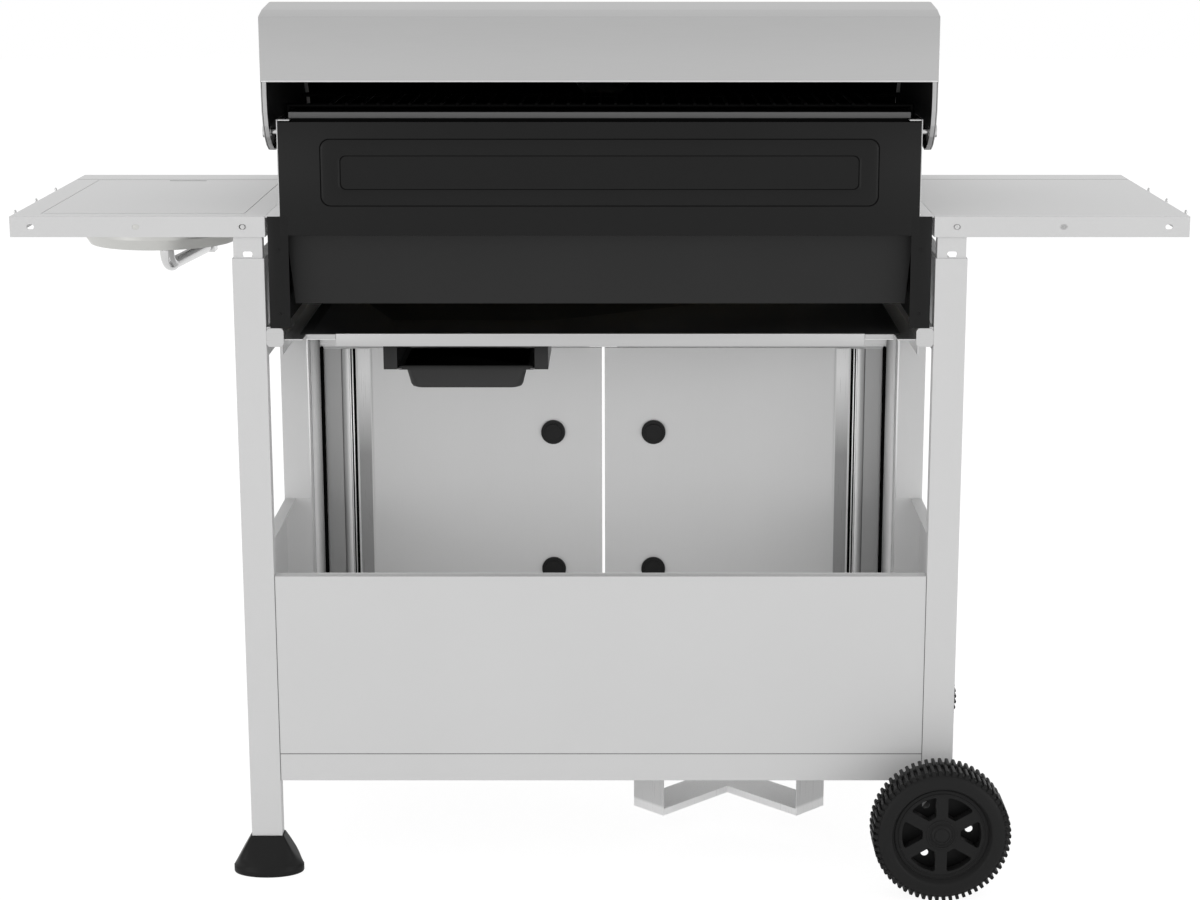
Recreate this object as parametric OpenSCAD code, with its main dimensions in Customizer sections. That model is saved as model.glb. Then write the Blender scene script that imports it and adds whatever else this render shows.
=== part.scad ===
// Gas grill on an open-backed cart, hood closed, standing as it does in use.
// Millimetres. +Z is up, the cook stands at -Y, the rear faces +Y and the wheels are on the -X side.
// Depths are counted forwards from the rear faces of the legs, so Y(depth) turns one into a coordinate.

/* [Cart] */
// Width across the outer faces of the legs
cart_w = 925; // [860:1:990]
// Depth across the legs, and of the side shelves
cart_d = 454; // [430:1:500]
// Width of a leg
leg_w = 40; // [38:0.5:44]
// Depth of a rear leg
leg_rear_d = 20; // [18:0.5:28]
// Depth of a front leg
leg_front_d = 47; // [40:0.5:52]
// Wall of a leg
leg_wall = 1.5; // [1.2:0.1:2.5]
// Height of the leg tops
leg_top = 824; // [800:1:860]
// Thickness of the cart's sheet metal
sheet = 1.2; // [0.8:0.1:1.6]
// Height of the bottom shelf's lower edge
base_z = 130; // [118:1:140]
// Height of the bottom shelf's flange
base_h = 37; // [32:1:50]
// Height of the rear and side panels above the bottom shelf
low_panel_h = 242; // [180:1:290]
// Depth of the return along the rear panel's top
panel_return = 18; // [10:1:26]
// Distance from the legs' tops down to the upper side panels
high_panel_drop = 24; // [10:1:60]
// Height of the upper side panels
high_panel_h = 153; // [110:1:160]

/* [Feet and wheels] */
// Width of a foot where it meets the floor
foot_w = 93; // [76:1:100]
// How far a foot reaches in front of its leg and behind it
foot_reach = 18; // [12:0.5:24]
// Height of a foot
foot_h = 53; // [46:1:66]
// Wheel diameter over the tread
wheel_d = 178; // [160:1:190]
// Wheel width
wheel_w = 56; // [36:1:60]
// Radius of the axle
axle_r = 5; // [4:0.5:7]
// How far the rear wheel stands off the leg
wheel_gap = 43; // [25:1:50]
// Tread lugs in one row
lug_count = 62; // [40:1:72]
// Height of a tread lug
lug_h = 4.5; // [3:0.5:6]

/* [Side shelves] */
// Length of a side shelf beyond the hood
shelf_w = 320; // [300:1:360]
// Height from the leg tops to the shelf tops
shelf_rise = 53; // [45:1:60]
// Height of a shelf's edge
shelf_edge = 26; // [22:1:32]
// Height of a shelf's front fascia
shelf_front = 87; // [74:1:94]
// Width of the side burner's lid
lid_w = 256; // [236:1:262]
// Depth of the side burner's lid
lid_d = 351; // [300:1:375]
// Radius of the side burner's bowl
bowl_r = 108; // [85:1:110]
// Depth of the bowl below its rim
bowl_h = 49.5; // [40:0.5:54]
// Reach of a tool hook from the shelf's edge
hook_reach = 20; // [14:1:26]
// Distance between tool hooks
hook_pitch = 119; // [90:1:150]

/* [Firebox] */
// Height of the black posts, down from the shelf tops
post_h = 142; // [130:1:150]
// Width of a black post
post_w = 26; // [22:0.5:30]
// Height of the bar that joins the posts
bar_h = 24; // [20:1:32]
// Rise of the back plate above the shelf tops
back_rise = 118; // [104:1:122]
// Thickness of the firebox's plates
plate = 1.5; // [1.2:0.1:2]
// Width of the firebox side's outward flange
side_flange = 20.5; // [16:0.5:24]
// Depth of the tub, from its rim to its floor
tub_h = 91; // [76:1:100]
// Number of main burners
burner_count = 4; // [3:1:4]
// Distance between burners
burner_pitch = 178; // [170:1:186]
// Outer radius of a burner tube
burner_r = 12.7; // [10:0.1:14]
// Distance between the warming rack's wires
rack_pitch = 20; // [16:1:26]

/* [Hood] */
// Height of the hood's crown above the shelf tops
hood_h = 260; // [240:1:280]
// Depth of the hood from its rear face to its front edge
hood_d = 470; // [460:1:478]
// Depth at which the crown starts to fall
crown_d = 100; // [80:1:130]
// Height of the open slot below the rear skin, above the shelf tops
slot_top = 167; // [155:1:180]
// Thickness of the hood's skin
skin = 1.5; // [1.2:0.1:2]
// Width of the lip folded round a cheek
cheek_lip = 7; // [4:0.5:9]
// Radius of the hood's hinge bolts
hinge_r = 4; // [3:0.5:5]
// Length of the hood's handle
handle_l = 560; // [400:1:640]
// Radius of the hood's handle
handle_r = 12; // [9:0.5:14]

/* [Controls and doors] */
// Height of the control panel
panel_h = 217; // [200:1:217]
// How far the control panel stands out from the legs
panel_d = 39.5; // [36:0.5:44]
// Diameter of a knob
knob_d = 50; // [40:1:58]
// Length of a knob
knob_l = 26; // [20:1:28]
// How far a knob can be pushed in
knob_push = 4; // [3:0.5:5]
// Radius of a valve stem
stem_r = 4; // [3:0.5:5]
// Thickness of a door
door_t = 15.7; // [13:0.1:18]
// Height of the rail over the doors
rail_h = 18; // [14:1:24]
// Distance of a door's handle from the middle
door_handle_x = 73; // [60:1:90]
// Radius of a door's handle
door_handle_r = 7; // [5:0.5:9]

/* [Grease tray] */
// Inset of the tray's edge from the firebox sides
tray_inset = 18; // [15:0.5:22]
// Inset of the tray's rear lip from the tray's edge
tray_lip_inset = 46; // [20:1:80]
// Distance of the grease cup from the cart's middle
cup_x = 178; // [120:1:220]
// Depth of the grease cup's rear edge
cup_d0 = 120; // [90:1:160]
// Width of the grease cup over its rim
cup_w = 180; // [140:1:190]
// Width of the bracket that holds the cup
cup_bracket_w = 217; // [210:1:224]
// Depth of the grease cup, front to back
cup_l = 130; // [100:1:140]
// Height of the grease cup
cup_h = 29; // [22:1:34]

/* [Bottle cradle] */
// Distance of the cradle's middle from the cart's middle, towards the wheels
cradle_x = 174; // [160:1:190]
// Half of a cradle strap's length
cradle_half = 156; // [150:1:160]
// Width of a cradle strap
cradle_w = 56; // [44:1:60]
// Radius of the hole over the cradle
well_r = 146; // [130:1:148]

/* [Fits] */
// Gap between pieces that pass or seat on each other
gap = 0.3; // [0.2:0.05:0.5]
// Radial clearance of a shaft in its hole
run = 0.05; // [0.02:0.01:0.09]

/* [Hidden] */

// Widths: the leg's inner face sets the firebox, the hood and the shelves
half_w = cart_w / 2;
leg_in = half_w - leg_w;
side_out = leg_in - side_flange;
side_in = side_out - plate;
hood_half = leg_in - 2.5;
shelf_in = hood_half;
post_out = shelf_in - 3;
shelf_out = shelf_in + shelf_w;

// Heights
shelf_z = leg_top + shelf_rise;
base_top = base_z + base_h;
post_z = shelf_z - post_h;
back_top = shelf_z + back_rise;
bar_z = shelf_z - bar_h;
tub_z = bar_z - tub_h;
burner_z = bar_z - 61;
side_top = back_top + 3;
hood_top = shelf_z + hood_h;
hood_edge = shelf_z + 9;
slot_z = shelf_z + slot_top;
panel_top = shelf_z - 5;
panel_z = panel_top - panel_h;
rail_z = panel_z - rail_h - 6;
tray_z = post_z - 13;
cup_rim_z = tray_z - 59;
cradle_z = base_z - 82;
tray_half = side_out - tray_inset;
tray_lip_half = tray_half - tray_lip_inset;
axle_z = wheel_d / 2;
axle_x = -(half_w - leg_w / 2 - 3);

// Depths
panel_front = cart_d + panel_d;
tub_rear = 22;
tub_front = cart_d - 18;
tub_taper = 8;
plate_front = cart_d - 2;
wheel_front_d = cart_d + 3;
handle_z = shelf_z + 48;
handle_out = 54;
handle_d = hood_depth_at(handle_z) + handle_out;
front_reach = handle_d + handle_r;
wheel_reach = wheel_gap + wheel_w;
rear_y = (front_reach - wheel_reach) / 2;

// The hood's hinge, its round cheek and its folds
hinge_d = 40;
hinge_z = shelf_z + 103;
lobe_r = 75;
lobe_d = lobe_r;
lobe_z = shelf_z + 149;
fold_z = hood_top - 13;
bevel_d = 33;
bevel_z = hood_top - 6;
hood_steps = 28;

// Side burner
lid_in = shelf_in + 30;
lid_rear = 33;
lid_skirt = 9;
recess_z = shelf_z - lid_skirt - 3.5;
bowl_x = lid_in + lid_w / 2 + 12;
bowl_d = cart_d / 2;
side_knob_x = bowl_x - 25;
supply_x = bowl_x - 3;
side_knob_z = shelf_z - 55;
supply_z = recess_z - bowl_h - 36;
supply_d = bowl_d + 8;
supply_r = 8.5;
supply_bend = 22;

// Doors
door_gap = 2;
door_edge = leg_in - 10.5;
door_box = leg_in - 18.5;
door_in_d = cart_d - 14.2;
door_out_d = door_in_d + door_t;
door_z0 = max(base_top + 3.5, wheel_d + 3);
door_z1 = rail_z - 2.5;
door_pin_x = leg_in - 14.5;
door_pin_d = door_out_d - 9;
door_pin_r = 2;
liner_half = 337;
strip_out = 358;
strip_gap = 4;
handle_high = 504;
handle_low = 298;

// Controls
valve_back = 30;
side_valve_d = valve_back - 2;
bezel_t = 4;
bezel_r = knob_d / 2 + 9;
knob_back = knob_push + 1;
inlet_r = 8;
inlet_l = 14;
manifold_r = 10;
manifold_half = burner_pitch * (burner_count - 1) / 2 + 75;

function Y(d) = rear_y - d;
function burner_x(i) = (i - (burner_count - 1) / 2) * burner_pitch;

// The hood is a quarter ellipse in front of its crown
function hood_angle(z, t) = acos((z - shelf_z) / (hood_h - t));
function hood_depth_at(z) = crown_d + (hood_d - crown_d) * sin(hood_angle(z, 0));
function hood_line(t) = concat(
    [[t, slot_z], [t, fold_z - t], [bevel_d, bevel_z - t]],
    [for (i = [0 : hood_steps])
        let (a = i / hood_steps * hood_angle(hood_edge, t))
        [crown_d + (hood_d - crown_d - t) * sin(a), shelf_z + (hood_h - t) * cos(a)]]
);
function reversed(line) = [for (i = [len(line) - 1 : -1 : 0]) line[i]];
function placed(line) = [for (p = line) [Y(p[0]), p[1]]];

// Outline of a cheek, t inside the skin's outer face: skin line, bottom edge, then the round lobe
function cheek_line(t) = concat(
    [[t, lobe_z]],
    [for (p = hood_line(t)) if (p[1] > slot_z + 1 || p[0] > crown_d) p],
    [[lobe_d + (lobe_r - t) * cos(-42) + 1, lobe_z + (lobe_r - t) * sin(-42) + 1]],
    [for (a = [-45 : -15 : -165]) [lobe_d + (lobe_r - t) * cos(a), lobe_z + (lobe_r - t) * sin(a)]]
);

// A box between two widths, two depths and two heights
module slab(x, d, z) {
    translate([x[0], Y(d[1]), z[0]]) cube([x[1] - x[0], d[1] - d[0], z[1] - z[0]]);
}

module both_sides() {
    children();
    mirror([1, 0, 0]) children();
}

module on_side(s) {
    mirror([s < 0 ? 1 : 0, 0, 0]) children();
}

module rod_x(x, d, z, r, facets = 48) {
    translate([x[0], Y(d), z]) rotate([0, 90, 0]) cylinder(h = x[1] - x[0], r = r, $fn = facets);
}

module rod_y(x, d, z, r, facets = 48) {
    translate([x, Y(d[1]), z]) rotate([-90, 0, 0]) cylinder(h = d[1] - d[0], r = r, $fn = facets);
}

module rod_z(x, d, z, r, facets = 48) {
    translate([x, Y(d), z[0]]) cylinder(h = z[1] - z[0], r = r, $fn = facets);
}

// Extrudes an outline of Y and Z along X
module along_x(x) {
    translate([x[0], 0, 0]) rotate([90, 0, 90]) linear_extrude(x[1] - x[0]) children();
}

// Extrudes an outline of X and Z through a range of depths
module through_d(d) {
    translate([0, Y(d[0]), 0]) rotate([90, 0, 0]) linear_extrude(d[1] - d[0]) children();
}

module round_rect(w, h, r) {
    square([w - 2 * r, h], center = true);
    square([w, h - 2 * r], center = true);
    for (x = [-1, 1], y = [-1, 1])
        translate([x * (w / 2 - r), y * (h / 2 - r)]) circle(r, $fn = 32);
}

// A slot whose ends are half circles
module slot_2d(w, h) {
    square([w - h, h], center = true);
    for (x = [-1, 1]) translate([x * (w - h) / 2, 0]) circle(h / 2, $fn = 32);
}

// A tapered block between two rectangles: each is [x0, x1, d0, d1]
module taper(top, bottom, z) {
    hull() {
        slab([top[0], top[1]], [top[2], top[3]], [z[1] - 0.01, z[1]]);
        slab([bottom[0], bottom[1]], [bottom[2], bottom[3]], [z[0], z[0] + 0.01]);
    }
}

function grown(rect, by) = [rect[0] - by, rect[1] + by, rect[2] - by, rect[3] + by];

// Legs

// A rear leg is a channel that opens to the front, with folded lips
module rear_leg(s, bottom) {
    lip = 8;
    on_side(s) {
        slab([leg_in, half_w], [0, leg_wall], [bottom, leg_top]);
        slab([leg_in, leg_in + leg_wall], [0, leg_rear_d], [bottom, leg_top]);
        slab([half_w - leg_wall, half_w], [0, leg_rear_d], [bottom, leg_top]);
        slab([leg_in, leg_in + lip], [leg_rear_d - leg_wall, leg_rear_d], [bottom, leg_top]);
        slab([half_w - lip, half_w], [leg_rear_d - leg_wall, leg_rear_d], [bottom, leg_top]);
    }
}

// A front leg is a tube, deep enough to take the doors between the pair
module front_leg(s, bottom) {
    on_side(s) difference() {
        slab([leg_in, half_w], [cart_d - leg_front_d, cart_d], [bottom, leg_top]);
        slab([leg_in + leg_wall, half_w - leg_wall], [cart_d - leg_front_d + leg_wall, cart_d - leg_wall],
            [bottom - 1, leg_top + 1]);
    }
}

module axle_hole() {
    rod_y(axle_x, [-1, cart_d + 1], axle_z, axle_r + run);
}

foot_seat = foot_h - 32;
wheel_leg_z = axle_z - 19;

module leg_rear_left() {
    color("gainsboro") difference() {
        rear_leg(-1, wheel_leg_z);
        axle_hole();
    }
}

module leg_rear_right() {
    color("gainsboro") rear_leg(1, foot_seat + gap);
}

module leg_front_left() {
    color("gainsboro") difference() {
        front_leg(-1, wheel_leg_z);
        axle_hole();
    }
}

module leg_front_right() {
    color("gainsboro") front_leg(1, foot_seat + gap);
}

// Oval at the floor, straight sided where it takes the leg between depths d[0] and d[1]
module foot(d) {
    rim = 11;
    wall = 1.7;
    x = [leg_in - gap, half_w + gap];
    seat = [d[0] - gap, d[1] + gap];
    middle = [half_w - leg_w / 2, (d[0] + d[1]) / 2];
    reach = (d[1] - d[0]) / 2 + foot_reach;
    difference() {
        hull() {
            foot_oval(middle, foot_w / 2 - 1.5, reach - 1.5, [0, 1]);
            foot_oval(middle, foot_w / 2, reach, [2, rim]);
            slab([x[0] - wall, x[1] + wall], [seat[0] - wall, seat[1] + wall], [foot_h - 1, foot_h]);
        }
        slab(x, seat, [foot_seat, foot_h + 1]);
    }
}

module foot_oval(middle, half_x, half_d, z) {
    translate([middle[0], Y(middle[1]), z[0]]) linear_extrude(z[1] - z[0])
        polygon([for (i = [0 : 47]) [half_x * cos(i * 7.5), half_d * sin(i * 7.5)]]);
}

module feet() {
    color([0.12, 0.12, 0.12]) {
        foot([0, leg_rear_d]);
        foot([cart_d - leg_front_d, cart_d]);
    }
}

// Bottom shelf with its downward flanges and the well for the gas bottle
well_d = 215;

module bottom_shelf() {
    inner = leg_in - 0.1;
    color("gainsboro") difference() {
        union() {
            slab([-inner, inner], [1, cart_d - 1], [base_top - sheet, base_top]);
            slab([-half_w + 1, half_w - 1], [leg_rear_d + gap, cart_d - leg_front_d - gap],
                [base_top - sheet, base_top]);
            for (d = [1, cart_d - 1 - sheet]) slab([-inner, inner], [d, d + sheet], [base_z, base_top]);
            both_sides() {
                slab([half_w - 1 - sheet, half_w - 1], [leg_rear_d + gap, cart_d - leg_front_d - gap],
                    [base_z, base_top]);
            }
        }
        rod_z(-cradle_x, well_d, [base_top - 2 * sheet, base_top + 1], well_r, 96);
        both_sides() rod_z(door_pin_x, door_pin_d, [base_top - 2 * sheet, base_top + 1], door_pin_r + run);
    }
}

// Rear panel on the bottom shelf, with a return along its top
module rear_panel() {
    inner = leg_in - 0.1;
    top = base_top + low_panel_h;
    color("gainsboro") {
        slab([-inner, inner], [1, 1 + sheet], [base_top, top]);
        slab([-inner, inner], [1, 1 + panel_return], [top - sheet, top]);
        both_sides() slab([inner - sheet, inner], [1, 14], [base_top, top]);
    }
}

// A side panel between two legs, with flanges at its ends and along its top or bottom
module side_panel(z, flange_z) {
    outer = half_w - 0.5;
    flange = 16;
    rear = leg_rear_d + 0.1;
    front = cart_d - leg_front_d - 0.1;
    slab([outer - sheet, outer], [rear, front], z);
    slab([leg_in + 1, outer], [front - sheet, front], z);
    slab([outer - flange, outer], [rear, rear + sheet], z);
    slab([outer - flange, outer], [rear, front], [flange_z - sheet, flange_z]);
}

module side_panels_lower() {
    top = base_top + low_panel_h + 3;
    color("lightgray") both_sides() side_panel([base_top, top], top);
}

module side_panels_upper() {
    top = leg_top - high_panel_drop;
    color("lightgray") both_sides() side_panel([top - high_panel_h, top], top);
}

// Rail over the doors, the strips beside them and the catch
module front_frame() {
    inner = leg_in - 0.1;
    color("silver") difference() {
        union() {
            difference() {
                slab([-inner, inner], [door_in_d, door_out_d], [rail_z, rail_z + rail_h]);
                slab([-inner - 1, inner + 1], [door_in_d + plate, door_out_d - plate],
                    [rail_z + plate, rail_z + rail_h - plate]);
            }
            both_sides() slab([door_box + 4, inner], [door_in_d - plate, door_in_d + gap],
                [base_top, rail_z + rail_h]);
            slab([-20, 20], [door_in_d - 8, door_in_d + gap], [rail_z, rail_z + 4]);
        }
        both_sides() rod_z(door_pin_x, door_pin_d, [rail_z - 1, rail_z + plate + 1], door_pin_r + run);
    }
}

// Runners that carry the firebox on top and the grease tray on their ledges
module tray_runners() {
    ledge = tray_half - 7;
    top = post_z;
    color("silver") both_sides() {
        slab([side_out + 0.5, side_out + 0.5 + plate], [plate, plate_front], [tray_z - 22, top]);
        slab([ledge, side_out + 1], [plate + 2, plate_front], [tray_z - sheet - gap - plate, tray_z - sheet - gap]);
        slab([side_out + 0.5, leg_in - 0.1], [plate, plate_front], [top - plate, top]);
        through_d([0, plate]) translate([side_in + (leg_in - side_in) / 2, top - 12])
            round_rect(leg_in - side_in - 0.2, 24, 5);
    }
}

// Two crossed straps under the well, with tabs that rise to the bottom shelf
module tank_cradle() {
    strap_t = 1.5;
    lip = 9.5;
    color("gainsboro") translate([-cradle_x, Y(well_d), 0]) for (a = [45, 135]) rotate([0, 0, a]) {
        translate([-cradle_half, -cradle_w / 2, cradle_z + lip - strap_t])
            cube([2 * cradle_half, cradle_w, strap_t]);
        for (y = [-1, 1])
            translate([-cradle_half, y * (cradle_w - strap_t) / 2 - strap_t / 2, cradle_z])
                cube([2 * cradle_half, strap_t, lip]);
        for (x = [-1, 1])
            translate([x * (cradle_half - strap_t / 2) - strap_t / 2, -cradle_w / 2, cradle_z])
                cube([strap_t, cradle_w, base_top - sheet - cradle_z]);
    }
}

// Wheels

hub_cap_t = 6;
module axle_rod() {
    color("silver") rod_y(axle_x, [-wheel_reach + hub_cap_t + 2, wheel_front_d + wheel_w - hub_cap_t - 2],
        axle_z, axle_r);
}

// One row of tread lugs: points step in and out round the rim
module lug_ring(turn) {
    root = wheel_d / 2 - lug_h;
    step = 360 / lug_count;
    rotate(turn) difference() {
        polygon([for (i = [0 : lug_count - 1], c = [[0.02, 0], [0.1, 1], [0.54, 1], [0.62, 0]])
            (root + lug_h * c[1]) * [cos((i + c[0]) * step), sin((i + c[0]) * step)]]);
        circle(root - 4, $fn = 96);
    }
}

// A wheel about the Z axis with its outer face at z = 0 and its hub boss reaching to z = boss
module wheel(boss) {
    rim = wheel_d / 2 - lug_h;
    face_r = rim - 17;
    window_out = 53;
    window_in = 26;
    hub = 15;
    spoke = 13;
    row = wheel_w / 2 - 3;
    difference() {
        union() {
            rotate_extrude($fn = 96) polygon([
                [0, 0.8], [hub, 0.8], [hub, 3], [window_out + 4, 3], [window_out + 6, 1], [face_r - 4, 1],
                [face_r, 3], [rim - 5, 4.5], [rim, 10], [rim, wheel_w - 8], [rim - 6, wheel_w],
                [face_r - 4, wheel_w], [face_r - 6, wheel_w - 14], [hub + 4, wheel_w - 14],
                [hub, wheel_w - 8], [hub, boss], [0, boss]
            ]);
            translate([0, 0, 4]) linear_extrude(row) lug_ring(0);
            translate([0, 0, wheel_w - 4 - row]) linear_extrude(row) lug_ring(180 / lug_count);
        }
        translate([0, 0, hub_cap_t]) cylinder(h = boss, r = axle_r + run, $fn = 48);
        for (a = [0 : 60 : 300]) rotate(a) translate([0, 0, -1]) linear_extrude(20) intersection() {
            difference() {
                circle(window_out, $fn = 96);
                circle(window_in, $fn = 96);
            }
            polygon([[window_in - 4, 0], [window_in - 4, 7], [window_out + 4, 22], [window_out + 4, -22],
                [window_in - 4, -7]]);
        }
        for (a = [60 : 120 : 300]) rotate(a) translate([(window_in + window_out) / 2, 0, 0])
            cylinder(h = wheel_w, r = 4.6, $fn = 32);
    }
}

module wheel_rear() {
    color([0.13, 0.13, 0.13]) translate([axle_x, Y(-wheel_reach), axle_z]) rotate([90, 0, 0])
        wheel(wheel_reach - gap);
}

module wheel_front() {
    color([0.13, 0.13, 0.13]) translate([axle_x, Y(wheel_front_d + wheel_w), axle_z]) rotate([-90, 0, 0])
        wheel(wheel_w + 3 - gap);
}

// Firebox

// Black steel sheet: posts, the bar between them and the embossed plate above
module back_plate() {
    emboss = 1.6;
    plate_half = side_in - 0.2;
    emboss_w = 2 * plate_half - 103;
    mid_z = bar_z + 79;
    color([0.14, 0.14, 0.14]) difference() {
        union() {
            slab([-plate_half, plate_half], [0, plate], [bar_z, back_top]);
            both_sides() slab([post_out - post_w, post_out], [0, plate], [post_z, shelf_z]);
            through_d([-emboss, 0]) translate([0, mid_z]) round_rect(emboss_w, 84, 12);
        }
        through_d([-emboss - 1, 0]) translate([0, mid_z - 1]) round_rect(emboss_w - 50, 41, 10);
        both_sides() for (z = [shelf_z - 42, post_z + 18])
            rod_y(post_out - post_w / 2, [-1, plate + 1], z, 1.8, 24);
    }
}

// Folded rail across the top of the firebox's rear
module rear_rail() {
    rail_half = side_in - 12.5;
    rail_d0 = 13;
    rail_d1 = 74;
    top = back_top + 11;
    color([0.18, 0.18, 0.18]) {
        slab([-rail_half, rail_half], [rail_d0, rail_d1], [top - sheet, top]);
        slab([-rail_half, rail_half], [rail_d1 - sheet, rail_d1], [top - 12, top]);
        slab([-rail_half, rail_half], [rail_d0, rail_d0 + sheet], [top - 16, top]);
        slab([-side_in + 0.1, side_in - 0.1], [rail_d0, rail_d0 + sheet], [top - 46, top - 15]);
    }
}

rack_rear_d = 60;
rack_front_d = 225;
rack_z = back_top + 17;
rack_peg_z = [side_top - 14, side_top - 62];
peg_r = 3;

module firebox_side(s) {
    outline = [[plate, post_z], [plate, side_top], [80, side_top], [plate_front, shelf_z + 40],
        [plate_front, post_z]];
    color([0.75, 0.75, 0.75]) on_side(s) difference() {
        union() {
            along_x([side_in, side_out]) polygon(placed(outline));
            slab([side_in, shelf_in - gap], [plate, plate_front], [shelf_z - plate, shelf_z]);
            slab([side_in, leg_in - 0.3], [plate, plate_front], [post_z, post_z + plate]);
            slab([side_in - 15, side_out], [0, 12], [side_top - plate, side_top]);
        }
        rod_x([side_in - 1, side_out + 1], hinge_d, hinge_z, hinge_r + run);
        rod_x([side_in - 1, side_out + 1], rack_rear_d, rack_peg_z[0], peg_r + gap);
        rod_x([side_in - 1, side_out + 1], rack_front_d, rack_peg_z[1], peg_r + gap);
    }
}

// Enamelled tub: tapered walls, a rim that rests between the side plates and an open floor
module firebox_tub() {
    rim_half = side_in - 0.2;
    wall_half = side_in - 4.5;
    top = [-wall_half, wall_half, tub_rear, tub_front];
    bottom = grown(top, -tub_taper);
    floor_in = grown(bottom, -38);
    ledge_z = burner_z + 32;
    ledge_half = wall_half - tub_taper;
    color([0.19, 0.19, 0.19]) difference() {
        union() {
            taper(top, bottom, [tub_z, bar_z]);
            slab([-rim_half, rim_half], [3, plate_front - 2], [bar_z - 0.01, bar_z + plate]);
        }
        difference() {
            taper(grown(top, -plate), grown(bottom, -plate), [tub_z + plate, bar_z + 2 * plate]);
            for (d = [tub_rear + 2, tub_front - 16])
                slab([-ledge_half, ledge_half], [d, d + 14], [ledge_z - plate, ledge_z]);
        }
        slab([floor_in[0], floor_in[1]], [floor_in[2], floor_in[3]], [tub_z - 1, tub_z + plate + 1]);
        for (i = [0 : burner_count - 1])
            rod_y(burner_x(i), [tub_front - 20, tub_front + 1], burner_z, burner_r + gap);
    }
}

module burner_tubes() {
    rear = tub_rear + 10;
    front = tub_front + 10;
    color([0.7, 0.7, 0.7]) for (i = [0 : burner_count - 1]) difference() {
        rod_y(burner_x(i), [rear, front], burner_z, burner_r);
        rod_y(burner_x(i), [rear + 3, front + 1], burner_z, burner_r - plate);
        for (s = [-1, 1], d = [rear + 30 : 24 : front - 60])
            translate([burner_x(i), Y(d), burner_z]) rotate([0, s * 55, 0])
                cylinder(h = burner_r + 1, r = 1.4, $fn = 16);
    }
}

// Folded tents over the burners
module heat_tents() {
    foot_z = burner_z + 32 + gap;
    rise = 17;
    half = 52;
    color([0.55, 0.55, 0.55]) for (i = [0 : burner_count - 1])
        through_d([tub_rear + 5, tub_front - 5]) translate([burner_x(i), foot_z]) polygon([
            [-half, 0], [-half + 8, 0], [-6, rise - sheet], [6, rise - sheet], [half - 8, 0], [half, 0],
            [half, sheet], [half - 7.5, sheet], [6.5, rise], [-6.5, rise], [-half + 7.5, sheet], [-half, sheet]
        ]);
}

// Cast grates: bars front to back between two end bars
module grate(s) {
    inner = 1.5;
    outer = side_in - 14;
    z = [bar_z + plate + gap, bar_z + plate + gap + 13];
    bar = 8;
    pitch = 20;
    depth = [12, plate_front - 8];
    count = floor((outer - inner - bar) / pitch);
    step = (outer - inner - bar) / count;
    color([0.16, 0.16, 0.16]) on_side(s) {
        for (i = [0 : count]) slab([inner + i * step, inner + i * step + bar], depth, z);
        for (d = [depth[0], (depth[0] + depth[1]) / 2 - bar / 2, depth[1] - bar])
            slab([inner, outer], [d, d + bar], [z[0], z[1] - 4]);
    }
}

// Wire rack over the rear of the grates, held by pegs in the firebox sides
module warming_rack() {
    wire = 2;
    half = side_in - 60;
    leg_x = side_in - 6;
    count = floor(2 * half / rack_pitch / 2);
    color([0.6, 0.6, 0.6]) union() {
        for (i = [-count : count]) rod_y(i * rack_pitch, [rack_rear_d - 6, rack_front_d + 6], rack_z, wire, 16);
        for (k = [0, 1]) {
            d = [rack_rear_d, rack_front_d][k];
            rod_x([-leg_x, leg_x], d, rack_z - 2, peg_r, 20);
            both_sides() {
                rod_z(leg_x, d, [rack_peg_z[k], rack_z - 2], peg_r, 20);
                rod_x([leg_x, side_out], d, rack_peg_z[k], peg_r, 20);
                translate([leg_x, Y(d), rack_peg_z[k]]) sphere(peg_r, $fn = 20);
                translate([leg_x, Y(d), rack_z - 2]) sphere(peg_r, $fn = 20);
            }
        }
    }
}

// Gas

// A valve: body against the panel's inner face, spud into its burner and a bore for its stem
module valve_body(x, front, z) {
    translate([x - 11, Y(front), z - 13]) cube([22, valve_back, 26]);
    rod_y(x, [front - valve_back - 16, front - valve_back + 1], z, 4, 32);
    rod_y(x, [front - valve_back - 1, front - valve_back + 1], z, 8, 6);
}

module valve_bore(x, front, z) {
    rod_y(x, [front - valve_back + 6, front + 1], z, stem_r + run, 40);
}

module manifold() {
    front = panel_front - sheet;
    pipe_d = front - 14;
    pipe_z = burner_z - 13 - manifold_r + 2;
    color([0.72, 0.66, 0.5]) difference() {
        union() {
            rod_x([-manifold_half, manifold_half], pipe_d, pipe_z, manifold_r);
            rod_x([-manifold_half - inlet_l, -manifold_half], pipe_d, pipe_z, inlet_r);
            for (i = [0 : burner_count - 1]) valve_body(burner_x(i), front, burner_z);
        }
        rod_x([-manifold_half - inlet_l - 1, -manifold_half + 20], pipe_d, pipe_z, inlet_r - 3);
        for (i = [0 : burner_count - 1]) valve_bore(burner_x(i), front, burner_z);
    }
}

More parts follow.
